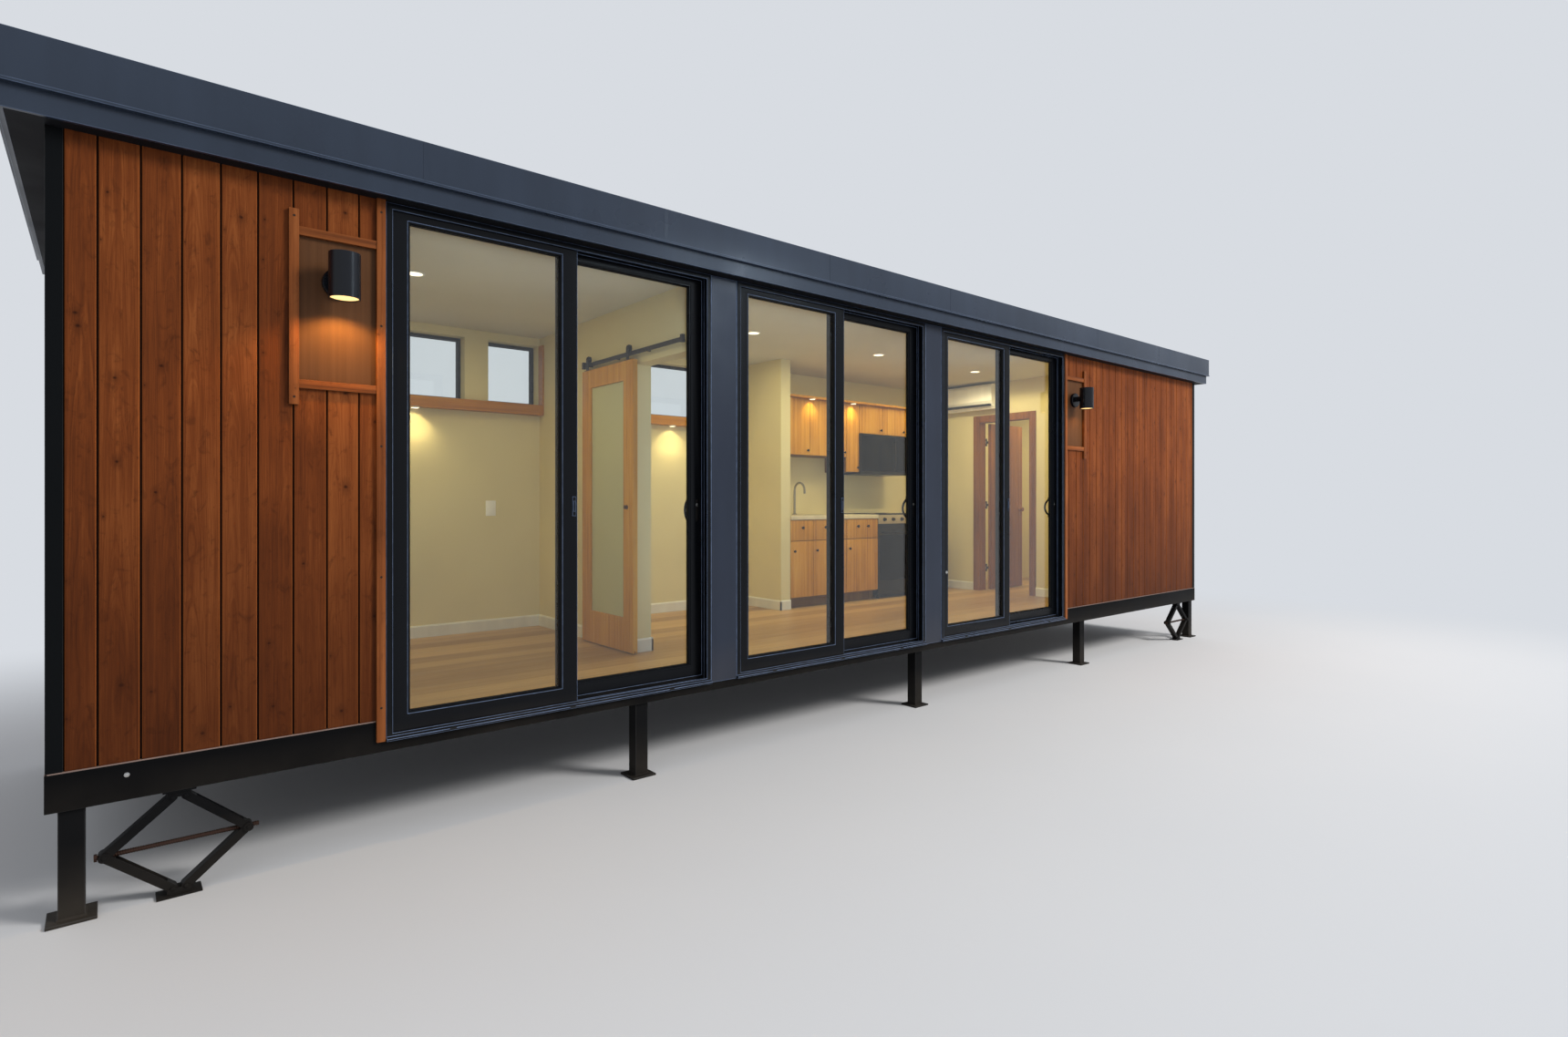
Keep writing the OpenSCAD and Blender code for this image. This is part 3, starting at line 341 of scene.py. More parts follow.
cladding = dict(pitch=PITCH, knots=1.0, varied=0.2, darker_low=(0.5, 2.3, 0.72), spec=0.09)
cedar = wood("cedar_boards", "Z", cedar_tones, start=first_joint, groove=("Y", middle_y, half_y), **cladding)
cedar_end = wood("cedar_end_boards", "Z", cedar_tones, start=front_y + CORNER, across="Y",
                 groove=("X", 0.0, x_right), **cladding)
cedar_up = wood("cedar_battens", "Z", batten_tones, knots=0.7, spec=0.16)
cedar_flat = wood("cedar_cross_battens", "X", batten_tones, across="Z", knots=0.6, spec=0.16)
lamp_board = wood("brown_lamp_board", "Z", panel_tones, rough=0.6, varied=0.1, contrast=0.5, spec=0.15)
leaf_swaps = [("Z", floor_z + 2.0342, 1, iron, 0.4),    # hangers
              ("X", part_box("hanging_door")[0].x + 0.0195, -1, rgb(74, 46, 22), 0.35)]    # knob
honey_up = wood("honey_wood_door", "Z", honey_tones, across="Y", rough=0.42, varied=0.2, contrast=0.8,
                swaps=leaf_swaps)
honey_along = wood("honey_wood_ledges", "X", ledge_tones, across="Z", rough=0.42, varied=0.2, contrast=0.8)
honey_fronts = wood("honey_wood_fronts", "Z", honey_tones, rough=0.38, contrast=0.9)
# carcass wood at a third of its tones, so the gaps between the fronts show painted shade
honey_units_painted_shade = wood("honey_wood_cabinets_painted_shade", "Z", tuple(times(t, 0.3) for t in honey_tones), rough=0.45,
                   varied=0.2)
brown_wood = wood("brown_wood_casing", "Z", brown_tones, across="Y", rough=0.42,
                  swaps=[("X", bath_x + 0.1165, 1, bronze, 0.4)])
brown_leaf = wood("brown_wood_leaf", "Z", brown_tones, rough=0.42,
                  swaps=[("X", bath_x + 0.148, -1, bronze, 0.4)])
oak = wood("oak_floor_boards", "X", oak_tones, across="Y", pitch=0.18, rough=0.36, varied=0.5, contrast=0.7,
           seam=0.012, swaps=[("Z", floor_z - 0.004, -1, underside, 0.8)])

# painted highlight colour for softened edges, the blue of a sky reflection
blue_edge_highlight = rgb(98, 114, 142)
sheet = dict(spec=0.3, waves=0.0004, glint=blue_edge_highlight)
# blue-grey paint for fascia and pilasters, its blue partly a painted sky reflection
charcoal = paint("charcoal_fascia", rgb(39, 48, 62), rough=0.3, grit=0.12, edge_wear_and_glint=0.7, grain=0.00004, **sheet)
pilaster = paint("charcoal_pilaster", rgb(32, 39, 53), rough=0.34, grit=0.1, dust=0.12, low=0.46, high=0.75,
                 edge_wear_and_glint=0.9, grain=0.00005, **sheet)
corner = paint("charcoal_corner", rgb(5, 7, 9), rough=0.45, grit=0.1, spec=0.1)
rail_paint = paint("charcoal_chassis", rgb(6, 6, 7), rough=0.5, dust=0.08, low=0.42, high=0.56, spec=0.08)
chassis_dark = paint("chassis_steel", rgb(12, 12, 13), rough=0.58, dust=0.2, high=0.3, spec=0.1)
door_black = dict(colour=rgb(9, 11, 15), rough=0.3, spec=0.14, edge_wear_and_glint=0.95, glint=blue_edge_highlight)
frame_black = paint("door_frame_black", dust=0.1, low=0.47, high=0.56, **door_black)
# the bow pull in front of the sash's face is glossier, and lighter as a painted highlight
sash_black = paint("sliding_sash_black", swaps=[("Y", frame_y + 0.0695, -1, rgb(52, 57, 66), 0.22)],
                   **door_black)
lamp_black = paint("lamp_black", rgb(11, 14, 21), rough=0.26, grit=0.05, spec=0.3, grain=0.00004)
soffit_black = paint("soffit_black", rgb(20, 21, 24), rough=0.6, spec=0.1)
roof_grey = paint("roof_membrane", rgb(140, 143, 144), rough=0.75, grit=0.12)
flashing = paint("ledge_flashing", rgb(128, 108, 100), rough=0.45, metallic=0.3, grit=0.15)
# the jack screws' dark red, darkened further as painted shade of the cabin's underside
shaded_screw_red = paint("greased_screw", rgb(58, 40, 32), rough=0.45, metallic=0.6, grit=0.25)
steel = paint("bright_steel", rgb(186, 186, 184), rough=0.25, metallic=1.0)
dark_steel = paint("dark_bronze", bronze, rough=0.35, metallic=0.5)
black_iron = paint("black_iron", iron, rough=0.4, metallic=0.3)
appliance = paint("appliance_dark", rgb(30, 31, 33), rough=0.3, metallic=0.2,
                  swaps=[("X", kitchen_x + 0.9, -1, rgb(150, 146, 138), 0.2)])
black_glass = paint("appliance_glass", rgb(10, 11, 12), rough=0.12, spec=0.12, edge_wear_and_glint=0.0, grain=0.0)
cooker_steel = paint("cooker_steel", rgb(184, 168, 134), rough=0.3, metallic=0.35)
white_case = paint("white_housing", rgb(246, 242, 230), rough=0.4, grit=0.02, spec=0.4)
white_paint = paint("white_gloss_paint", rgb(222, 218, 204), rough=0.35, grit=0.03, spec=0.4)
counter = paint("pale_counter", rgb(214, 198, 160), rough=0.3, grit=0.06, spec=0.4)
cream = plaster("cream_walls", rgb(220, 206, 158))
ceiling_paint = plaster("ceiling_paint", rgb(214, 209, 188))
clear = glass("clear_glass", (0.93, 0.96, 0.95, 1.0))
frosted = glass("frosted_glass", rgb(222, 218, 168), rough=0.45, smudge=0.1, through=0.3)
black_rubber = rubber("black_rubber")
warm_light = glow("warm_light", (1.0, 0.66, 0.26, 1.0), 1.5)
room_light = glow("room_light", (1.0, 0.86, 0.62, 1.0), 2.2)

looks = (
    (cream, "front_wall", "back_wall", "left_end_wall", "right_end_wall", "partition_walls",
     "doorway_headers"),
    (clear, "fixed_glass", "window_glass", "sliding_glass_1", "sliding_glass_2", "sliding_glass_3"),
    (frosted, "hanging_door_glass"), (dark_steel, "hanging_door_track"), (white_case, "air_conditioner"),
    (chassis_dark, "chassis_cross_members"), (oak, "floor"), (lamp_board, "lamp_panels"),
    (roof_grey, "roof_structure"), (soffit_black, "soffit"), (ceiling_paint, "ceiling"))
for material, *names in looks:
    for name in names:
        nodes[name].data.materials.clear()
        nodes[name].data.materials.append(material)


# ---------------- shapes

def put_in_scene(name, data):
    made = bpy.data.objects.new(name, data)
    bpy.context.scene.collection.objects.link(made)
    return made


def finish(mesh, name, material, bevel, replaces, body):
    """Softens a mesh's sharp edges, marks them, and turns the mesh into a piece."""
    bmesh.ops.recalc_face_normals(mesh, faces=mesh.faces)
    if bevel:
        mark = mesh.faces.layers.float.new("edge")
        sharp = [e for e in mesh.edges if e.is_manifold and e.calc_face_angle(0.0) > radians(32)]
        made = bmesh.ops.bevel(mesh, geom=sharp, offset=bevel, segments=2, profile=0.6, affect="EDGES",
                               clamp_overlap=True)
        for face in made["faces"]:
            face[mark] = 1.0
    data = bpy.data.meshes.new(name)
    mesh.to_mesh(data)
    mesh.free()
    data.shade_smooth()
    data.set_sharp_from_angle(angle=radians(24))
    data.materials.append(material)
    made = put_in_scene(name, data)
    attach(made, body)
    if replaces:
        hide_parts(*replaces)


def soften(node, material, bevel, body="cabin", shift=None):
    """A piece of the same form as a CAD solid, with flat faces merged and its edges softened."""
    mesh = bmesh.new()
    mesh.from_mesh(nodes[node].data)
    for vert in mesh.verts if shift else ():
        vert.co = shift(vert.co)
    bmesh.ops.remove_doubles(mesh, verts=mesh.verts, dist=0.00001)
    bmesh.ops.dissolve_limit(mesh, angle_limit=radians(0.4), verts=mesh.verts, edges=mesh.edges)
    finish(mesh, "soft_" + node, material, bevel, [node], body)


def turns(count):
    """The angles of a full turn in equal steps."""
    return [2 * pi * k / count for k in range(count)]


class Shape:
    """Collects solids into one mesh."""

    def __init__(self):
        self.mesh = bmesh.new()

    def loop(self, rings, closed=False):
        """Joins rings of points, all of one length, into a skin. Open ends are capped."""
        rows = [[self.mesh.verts.new(p) for p in ring] for ring in rings]
        count = len(rows[0])
        pairs = list(zip(rows, rows[1:])) + ([(rows[-1], rows[0])] if closed else [])
        for a, b in pairs:
            for k in range(count):
                self.mesh.faces.new((a[k], a[(k + 1) % count], b[(k + 1) % count], b[k]))
        if not closed:
            self.mesh.faces.new(rows[0][::-1])
            self.mesh.faces.new(rows[-1])
        return self

    def box(self, low, high):
        (x0, y0, z0), (x1, y1, z1) = low, high
        return self.loop([[(x0, y0, z), (x1, y0, z), (x1, y1, z), (x0, y1, z)] for z in (z0, z1)])

    def prism(self, outline, put, a, b):
        """An outline of (u, v) pairs carried from a to b, where put(u, v, w) gives the point."""
        return self.loop([[put(u, v, w) for u, v in outline] for w in (a, b)])

    def surround(self, x0, x1, z0, z1, y, section):
        """A mitred ring inside an upright rectangle at y, its section given as (inset, depth) pairs."""
        corners = ((x0, 1, z0, 1), (x1, -1, z0, 1), (x1, -1, z1, -1), (x0, 1, z1, -1))
        return self.loop([[(x + sx * i, y + v, z + sz * i) for i, v in section]
                          for x, sx, z, sz in corners], True)

    def lathe(self, centre, profile, axis="Z", sides=32):
        """A profile of (radius, height) pairs turned about an axis through the centre."""
        centre = Vector(centre)
        turn = Vector({"X": (1, 0, 0), "Y": (0, 1, 0), "Z": (0, 0, 1)}[axis]).to_track_quat("Z", "Y")
        return self.loop([[centre + turn @ Vector((r * cos(t), r * sin(t), h))
                           for t in turns(sides)] for r, h in profile])

    def ring(self, centre, section, sides):
        """A section of (radius, height) pairs carried round an upright axis through the centre."""
        x, y, z = centre
        return self.loop([[(x + r * cos(t), y + r * sin(t), z + h) for r, h in section]
                          for t in turns(sides)], True)

    def done(self, name, slot, material, bevel=0.0, replaces=(), body="cabin"):
        finish(self.mesh, name, material, bevel, replaces, body)


# ---------------- solids that keep their form

for node, slot, material, bevel in (
        ("chassis_rails", "chassis_steel", rail_paint, 0.0015),
        ("support_legs", "chassis_steel", chassis_dark, 0.003),
        ("scissor_jacks", "chassis_steel", chassis_dark, 0.0012),
        ("corner_trims", "trim_metal", corner, 0.0012), ("door_pilasters", "trim_metal", pilaster, 0.003),
        ("upper_fascia", "trim_metal", charcoal, 0.0015), ("lower_fascia", "trim_metal", charcoal, 0.0015),
        ("door_frames", "door_metal", frame_black, 0.002),
        ("fixed_panels", "door_metal", frame_black, 0.0025),
        ("window_frames", "door_metal", frame_black, 0.0015),
        ("wall_lamps", "lamp_metal", lamp_black, 0.0015), ("window_ledges", "warm_wood", honey_along, 0.002),
        ("bathroom_door_frame", "warm_wood", brown_wood, 0.0015),
        ("kitchen_units", "warm_wood", honey_units_painted_shade, 0.001),
        ("kitchen_appliances", "appliance_steel", appliance, 0.002)):
    soften(node, material, bevel)


def pull_nearer_glass(at):
    """Brings a bow pull to the glass side of its stile and further off it, and leaves the panel as it is."""
    beyond = at.y - sash_back
    return at if beyond < 0.00002 else Vector((at.x - 0.028, sash_back + beyond * 1.35, at.z))


for i in (1, 2, 3):
    soften(f"sliding_panel_{i}", sash_black, 0.0025, f"sliding_door_{i}", pull_nearer_glass)
soften("hanging_door", honey_up, 0.002, "hanging_leaf")
soften("bathroom_door", brown_leaf, 0.002, "bathroom_leaf")


# ---------------- cladding boards

def board_outline(a, b, open_left, open_right):
    """Section of one board across its width: a chamfered face with a groove on each joined side, whose dark
    is partly painted shade.
    """
    thick, gap, groove, chamfer = 0.0195, 0.0032, 0.0125, 0.0034
    joined_left = [(a, groove), (a + gap, groove), (a + gap, chamfer), (a + gap + chamfer, 0)]
    joined_right = [(b - gap - chamfer, 0), (b - gap, chamfer), (b - gap, groove), (b, groove)]
    return ([(a, thick)] + (joined_left if open_left else [(a, 0)])
            + (joined_right if open_right else [(b, 0)]) + [(b, thick)])


def clad(shape, put, low, high, start, holes=()):
    """Boards between low and high along a wall, cut round holes given as (low, high, bottom, top)."""
    joints = [start + k * PITCH for k in range(-90, 180)]
    joints = [low] + [j for j in joints if low + 0.02 < j < high - 0.02] + [high]
    for a, b in zip(joints, joints[1:]):
        cuts = sorted({a, b} | {c for h in holes for c in h[:2] if a + 0.001 < c < b - 0.001})
        for c, d in zip(cuts, cuts[1:]):
            spans = [(boards_low, boards_top)]
            for h0, h1, bottom, top in holes:
                if h0 < (c + d) / 2 < h1:
                    spans = [(boards_low, bottom), (top, boards_top)]
            for bottom, top in spans:
                shape.prism(board_outline(c, d, c == a, d == b), put, bottom, top)


def on_front(u, v, w):
    return (u, front_y + v, w)


left_edge, right_edge = x_left + CORNER, x_right - CORNER
tall_left, tall_right = door_low.x - 0.041, door_high.x + 0.003
panel_w = 0.312
left_panel = (tall_left - panel_w, tall_left, panel_low.z, panel_high.z)
right_panel = (tall_right + BATTEN, tall_right + BATTEN + panel_w, panel_low.z, panel_high.z)

front = Shape()
clad(front, on_front, left_edge, door_low.x - 0.003, first_joint, [left_panel])
clad(front, on_front, door_high.x + 0.003, right_edge, x_left + 7.631, [right_panel])
front.done("front_boards", "cedar", cedar, replaces=["front_cladding"])

windows = [(x_left + a, x_left + a + w) for a, w in ((1.39, 0.97), (2.548, 0.425), (3.95, 0.96))]
back = Shape()
clad(back, lambda u, v, w: (u, back_y - v, w), left_edge, right_edge, first_joint,
     [(a, b, window_low.z, window_high.z) for a, b in windows])
back.done("back_boards", "cedar", cedar, replaces=["back_cladding"])

ends = Shape()
for side in (-1, 1):
    clad(ends, lambda u, v, w: (side * (x_right - v), u, w), front_y + CORNER, back_y - CORNER,
         front_y + CORNER)
ends.done("end_boards", "cedar", cedar_end, replaces=["end_cladding"])

# ---------------- lamp frames and lamps

SCREW = [(0.0052, 0.002), (0.0052, -0.0004), (0.004, -0.001), (0.0016, -0.001), (0.0014, -0.0002)]
CANOPY = [(0.067, 0.001), (0.067, -0.022), (0.064, -0.026), (0.03, -0.0275), (0.024, -0.0275)]
DIFFUSER = [(0.059, 0.0295), (0.059, 0.0065), (0.054, 0.0045), (0.0, 0.0038)]
LAMP_RIM = ((0.0598, 0.0004), (0.0598, 0.008), (0.057, 0.008), (0.057, 0.0014))

batten_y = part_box("lamp_battens")[0].y
upright, crossing, screws = Shape(), Shape(), Shape()
for tall, short, cross in ((tall_left, left_panel[0] - BATTEN, left_panel[:2]),
                           (tall_right, right_panel[1], right_panel[:2])):
    upright.box((tall, batten_y, door_low.z + 0.001), (tall + BATTEN, front_y, boards_top))
    upright.box((short, batten_y, panel_low.z - 0.111), (short + BATTEN, front_y, panel_high.z + 0.111))
    for z in (panel_low.z - BATTEN, panel_high.z):
        crossing.box((cross[0], batten_y + 0.004, z), (cross[1], front_y, z + BATTEN))
    for x, heights in ((tall, (0.64, 1.25, 1.86, 2.42, 2.95)), (short, (2.062, 2.855))):
        for z in heights:
            screws.lathe((x + BATTEN / 2, batten_y, z), SCREW, "Y", 16)
upright.done("lamp_frame_uprights", "cedar", cedar_up, 0.002, ["lamp_battens"])
crossing.done("lamp_frame_crossbars", "cedar", cedar_flat, 0.002)
screws.done("batten_screws", "trim_metal", dark_steel)

lamp_z = lamp_low.z
lamp_spots = [(x, lamp_low.y + LAMP_R) for x in (lamp_low.x + LAMP_R, lamp_high.x - LAMP_R)]
bulbs, rims, canopies = Shape(), Shape(), Shape()
for x, y in lamp_spots:
    canopies.lathe((x, front_y + 0.004, lamp_z + 0.092), CANOPY, "Y", 48)
    bulbs.lathe((x, y, lamp_z), DIFFUSER, sides=40)
    rims.ring((x, y, lamp_z), LAMP_RIM, 48)
bulbs.done("lamp_diffusers", "frosted_glass", warm_light)
canopies.done("lamp_canopies", "lamp_metal", lamp_black)
rims.done("lamp_rims", "lamp_metal", lamp_black)

# ---------------- glass doors

KEY = [(0.0085, 0.001), (0.0085, -0.004), (0.0075, -0.005), (0.003, -0.005), (0.0026, -0.0044)]
STUD = [(0.0125, 0.001), (0.0125, -0.0025), (0.01, -0.0065), (0.006, -0.009), (0.002, -0.01)]

seals = Shape()
sash_beads = {"cabin": Shape(), **{f"sliding_door_{i}": Shape() for i in (1, 2, 3)}}
latches, covers = Shape(), Shape()


def glaze(beads, rubbers, x0, x1, y, z0, z1):
    """Beads and seals round a pane in an opening whose panel's face is at y."""
    outer = ((-0.001, 0.003), (0.007, 0.003), (0.012, 0.01), (0.012, 0.0222), (-0.001, 0.0222))
    inner = ((-0.001, 0.0338), (0.01, 0.0338), (0.01, 0.037), (0.007, 0.039), (-0.001, 0.039))
    seal = ((0.011, 0.0185), (0.015, 0.0205), (0.015, 0.0222), (0.011, 0.0222))
    for shape, section in ((beads, outer), (beads, inner), (rubbers, seal)):
        shape.surround(x0, x1, z0, z1, y, section)


for i, x in enumerate(units, 1):
    body, sash_seals = f"sliding_door_{i}", Shape()
    glaze(sash_beads["cabin"], seals, x + 0.1, x + 0.8835, fixed_face, 0.59, 2.942)
    glaze(sash_beads[body], sash_seals, x + 0.9715, x + 1.75, sash_face, 0.59, 2.94)
    # latch keeper on the fixed panel's stile
    latches.box((x + 0.939, fixed_face - 0.006, 1.524), (x + 0.961, fixed_face + 0.001, 1.63))
    latches.box((x + 0.944, fixed_face - 0.01, 1.548), (x + 0.956, fixed_face - 0.004, 1.606))
    # rain covers over the sill's drain slots
    for at in (0.3, 0.93, 1.56):
        covers.loop([[(x + at + s * (0.016 - e), frame_y - 0.018 - d,
                       door_low.z + 0.0035 + e + h * (0.008 - 2 * e))
                      for s, h in ((-1, 0), (1, 0), (1, 1), (-1, 1))]
                     for e, d in ((0, -0.001), (0, 0.001), (0.001, 0.002))])
    # lock plate and key cylinder in the sliding panel's recessed pull
    Shape().box((x + 1.79, sash_face + 0.0065, 1.482), (x + 1.812, sash_face + 0.0095, 1.618)).done(
        f"lock_plate_{i}", "door_metal", black_iron, 0.0008, body=body)
    Shape().lathe((x + 1.801, sash_face + 0.007, 1.583), KEY, "Y", 28).done(
        f"key_cylinder_{i}", "door_metal", steel, body=body)
    sash_seals.done(f"sliding_seals_{i}", "door_metal", black_rubber, body=body)
for body, shape in sash_beads.items():
    shape.done("glazing_beads_" + body, "door_metal", frame_black, body=body)
Shape().lathe((units[2] + 0.082, fixed_face, 1.03), STUD, "Y", 28).done("stile_stud", "door_metal", steel)
seals.done("fixed_seals", "door_metal", black_rubber)
latches.done("latch_keepers", "door_metal", frame_black, 0.0018)
covers.done("drain_covers", "door_metal", black_rubber)

# ---------------- fascia, roof and chassis

laps = Shape()
fascia_top, step_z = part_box("upper_fascia")[1].z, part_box("upper_fascia")[0].z
lap_section = ((-0.012, -0.001), (-0.012, 0.0008), (0.012, 0.0003), (0.012, -0.001))
for at in (7.59, 8.91, 1.32, 2.64, 3.96, 5.28):
    for way, y in ((-1, front_y - OVERHANG), (1, back_y + OVERHANG)):
        laps.loop([[(x_left + at + u, y + way * v, z) for u, v in lap_section]
                   for z in (step_z + 0.0125, fascia_top - 0.001)])
laps.done("fascia_laps", "trim_metal", charcoal)


def roof_z(y):
    return roof_high.z - 0.035 * (y - roof_low.y) / (roof_high.y - roof_low.y)


seams = Shape()
y0, y1 = front_y - 0.052, back_y + 0.052
seam_section = ((-0.045, -0.001), (-0.045, 0.0008), (-0.04, 0.0022), (0.04, 0.0022), (0.045, 0.0008),
                (0.045, -0.001))
for k in range(-5, 6):
    seams.loop([[(k * 0.95 + u, y, roof_z(y) + v) for u, v in seam_section] for y in (y0, y1)])
# upstands along the roof's four edges
roof_end = x_right + 0.108
for side in (-1, 1):
    x = side * roof_end
    seams.loop([[(x, y, z - 0.001), (x, y, z + 0.016), (x - side * 0.045, y, z - 0.001)]
                for y, z in ((y, roof_z(y)) for y in (y0 - 0.016, y1 + 0.016))])
for way, y in ((1, y0 - 0.016), (-1, y1 + 0.016)):
    z = roof_z(y)
    seams.loop([[(x, y, z - 0.001), (x, y, z + 0.016), (x, y + way * 0.045, z - 0.001)]
                for x in (-roof_end, roof_end)])
seams.done("roof_membrane_seams", "roof_sheet", roof_grey)

ledge = Shape()
top = rail_high.z
spans = [((x_left - 0.004, front_y - 0.0045), (door_low.x, front_y + 0.004)),
         ((door_high.x, front_y - 0.0045), (x_right + 0.004, front_y + 0.004)),
         ((x_left - 0.004, back_y - 0.004), (x_right + 0.004, back_y + 0.0045)),
         ((-(x_right + 0.0045), front_y - 0.0045), (x_left + 0.004, back_y + 0.0045)),
         ((x_right - 0.004, front_y - 0.0045), (x_right + 0.0045, back_y + 0.0045))]
for (xa, ya), (xb, yb) in spans:
    ledge.box((xa, ya, top - 0.0005), (xb, yb, top + 0.0044))
ledge.done("ledge_flashing", "trim_metal", flashing, 0.0006)

BOLT = [(0.0092, 0.001), (0.0092, -0.0015), (0.0076, -0.0022), (0.0068, -0.0045), (0.004, -0.0058),
        (0.0, -0.0062)]
Shape().lathe((x_left + 0.234, front_y - 0.005, 0.529), BOLT, "Y", 28).done(
    "rail_bolt", "chassis_steel", steel)

# fillet welds at both ends of each leg: (outwards, along the leg)
WELD = ((-0.001, -0.0005), (0.006, -0.0005), (0.004, 0.004), (-0.001, 0.007))
welds = Shape()
for k in range(5):
    lx = x_left + 0.032 + k * (2 * x_right - 0.144) / 4
    for ly in (front_y + 0.015, back_y - 0.095):
        for z, way in ((0.012, 1), (rail_low.z, -1)):
            welds.loop([[(lx + sx * LEG + (sx * 2 - 1) * out, ly + sy * LEG + (sy * 2 - 1) * out,
                          z + way * up) for out, up in WELD]
                        for sx, sy in ((0, 0), (1, 0), (1, 1), (0, 1))], True)
welds.done("leg_welds", "chassis_steel", chassis_dark)


def thread(shape, start, length, radius):
    """A screw thread along X."""
    pitch, cut = 0.008, 0.0016
    rows, sides = int(length / pitch * 4), 14
    rings = []
    for k in range(rows + 1):
        along = length * k / rows
        ring = []
        for j, turn in enumerate(turns(sides)):
            phase = (along / pitch - j / sides) % 1.0
            r = radius - cut * min(1.0, max(0.0, abs(phase - 0.5) * 4 - 0.5))
            ring.append((start[0] + along, start[1] + r * cos(turn), start[2] + r * sin(turn)))
        rings.append(ring)
    shape.loop(rings)


PIN = ((0.0085, -0.001), (0.0085, 0.002), (0.006, 0.0038), (0.001, 0.0044))
pins, threads = Shape(), Shape()
screw_z = rail_low.z / 2
pivots = [(0.031, x, screw_z) for x in (-0.235, 0.235)]
pivots += [(0.027, x, z) for z in (0.03, rail_low.z - 0.03) for x in (-0.022, 0.022)]
for jx in (-(x_right - 0.4), x_right - 0.4):
    for jy in (front_y + 0.035, back_y - 0.035):
        thread(threads, (jx - 0.255, jy, screw_z), 0.53, 0.01)
        threads.lathe((jx - 0.265, jy, screw_z), [(0.015, 0.0), (0.015, 0.0105)], "X", 6)
        for face, px, pz in pivots:
            for way in (-1, 1):
                pins.loop([[(jx + px + r * cos(t), jy + way * (face + h), pz + r * sin(t))
                            for t in turns(20)] for r, h in PIN])
threads.done("jack_threads", "screw_steel", shaded_screw_red, replaces=["jack_screws"])
pins.done("jack_pins", "chassis_steel", chassis_dark)

# ---------------- back windows

FLANGE = ((0.0, -0.0005), (0.0, 0.003), (0.003, 0.006), (0.023, 0.006), (0.023, -0.0005))
PANE_SEAL = ((-0.001, -0.029), (0.004, -0.027), (0.004, -0.0235), (-0.001, -0.0235))
trims, window_seals = Shape(), Shape()
for a, b in windows:
    for shape, out, section in ((trims, 0.022, FLANGE), (window_seals, -0.025, PANE_SEAL)):
        shape.surround(a - out, b + out, window_low.z - out, window_high.z + out, back_y, section)
trims.done("window_flanges", "door_metal", frame_black)
window_seals.done("window_seals", "door_metal", black_rubber)

# ---------------- rooms

skirts = Shape()


def skirt(x0, y0, x1, y1, nx, ny):
    """A skirting board along a wall from one point to another, standing out along (nx, ny)."""
    high, thick = 0.095, 0.012
    section = [(-0.001, 0.0005), (thick, 0.0005), (thick, high - 0.012), (thick - 0.007, high),
               (-0.001, high)]
    skirts.loop([[(x + nx * u, y + ny * u, floor_z + v) for u, v in section]
                 for x, y in ((x0, y0), (x1, y1))])


part_end, part_right = room_front + 0.7, partition_x + 0.12
wing_x, wing_end = x_left + 5.153, room_back - 0.62
doorway_a, doorway_b = room_front + 0.75, room_front + 1.585
for wall in ((room_left, room_front, room_left, room_back, 1, 0),
             (room_left, room_front, door_low.x, room_front, 0, 1),
             (door_high.x, room_front, bath_x, room_front, 0, 1),
             (room_left, room_back, partition_x, room_back, 0, -1),
             (partition_x, part_end - 0.012, partition_x, room_back, -1, 0),
             (partition_x - 0.012, part_end, partition_x + 0.132, part_end, 0, -1),
             (part_right, part_end - 0.012, part_right, room_back, 1, 0),
             (part_right, room_back, wing_x, room_back, 0, -1),
             (wing_x, wing_end - 0.012, wing_x, room_back, -1, 0),
             (wing_x - 0.012, wing_end, kitchen_x, wing_end, 0, -1),
             (kitchen_end, room_back, bath_x, room_back, 0, -1),
             (bath_x, room_front, bath_x, doorway_a, -1, 0),
             (bath_x, doorway_b, bath_x, room_back, -1, 0)):
    skirt(*wall)
skirts.done("skirting_boards", "plaster", white_paint)

CEILING_RIM = ((0.058, 0.0005), (0.058, -0.002), (0.054, -0.005), (0.046, -0.004), (0.046, 0.0005))
rings, lights = Shape(), Shape()
ceiling_spots = [(x_left + x, front_y + 1.085, ceiling_z) for x in (1.6, 4.22, 5.72, 7.22)]
for centre in ceiling_spots:
    rings.ring(centre, CEILING_RIM, 40)
    lights.lathe(centre, [(0.0465, 0.0005), (0.0465, -0.0022), (0.0, -0.003)])
# small lights under the ledges and on the wall cabinets
pucks = [(x_left + x, room_back - off, floor_z + z) for x, off, z in (
    (1.97, 0.05, 1.781), (4.28, 0.05, 1.781), (5.78, 0.385, 2.1305), (6.387, 0.385, 2.1305))]
for centre in pucks:
    rings.lathe(centre, [(0.034, 0.001), (0.034, -0.008), (0.031, -0.01)])
    lights.lathe(centre, [(0.027, -0.0095), (0.027, -0.0112), (0.0, -0.0118)])
rings.done("light_rims", "white_plastic", white_case)
lights.done("room_light_lenses", "frosted_glass", room_light)

plate = Shape()
plate.box((x_left + 2.527, room_back - 0.006, 1.488), (x_left + 2.607, room_back + 0.001, 1.612))
plate.box((x_left + 2.548, room_back - 0.01, 1.52), (x_left + 2.586, room_back - 0.004, 1.58))
plate.done("switch_plate", "white_plastic", white_case, 0.002)

# ---------------- kitchen

DRAWER_KNOB = [(0.007, 0.001), (0.007, -0.012), (0.015, -0.016), (0.015, -0.024), (0.01, -0.028)]
DOOR_KNOB = [(0.006, 0.001), (0.006, -0.012), (0.013, -0.016), (0.013, -0.022), (0.009, -0.026)]
FRONT = 0.016    # thickness of a cabinet front

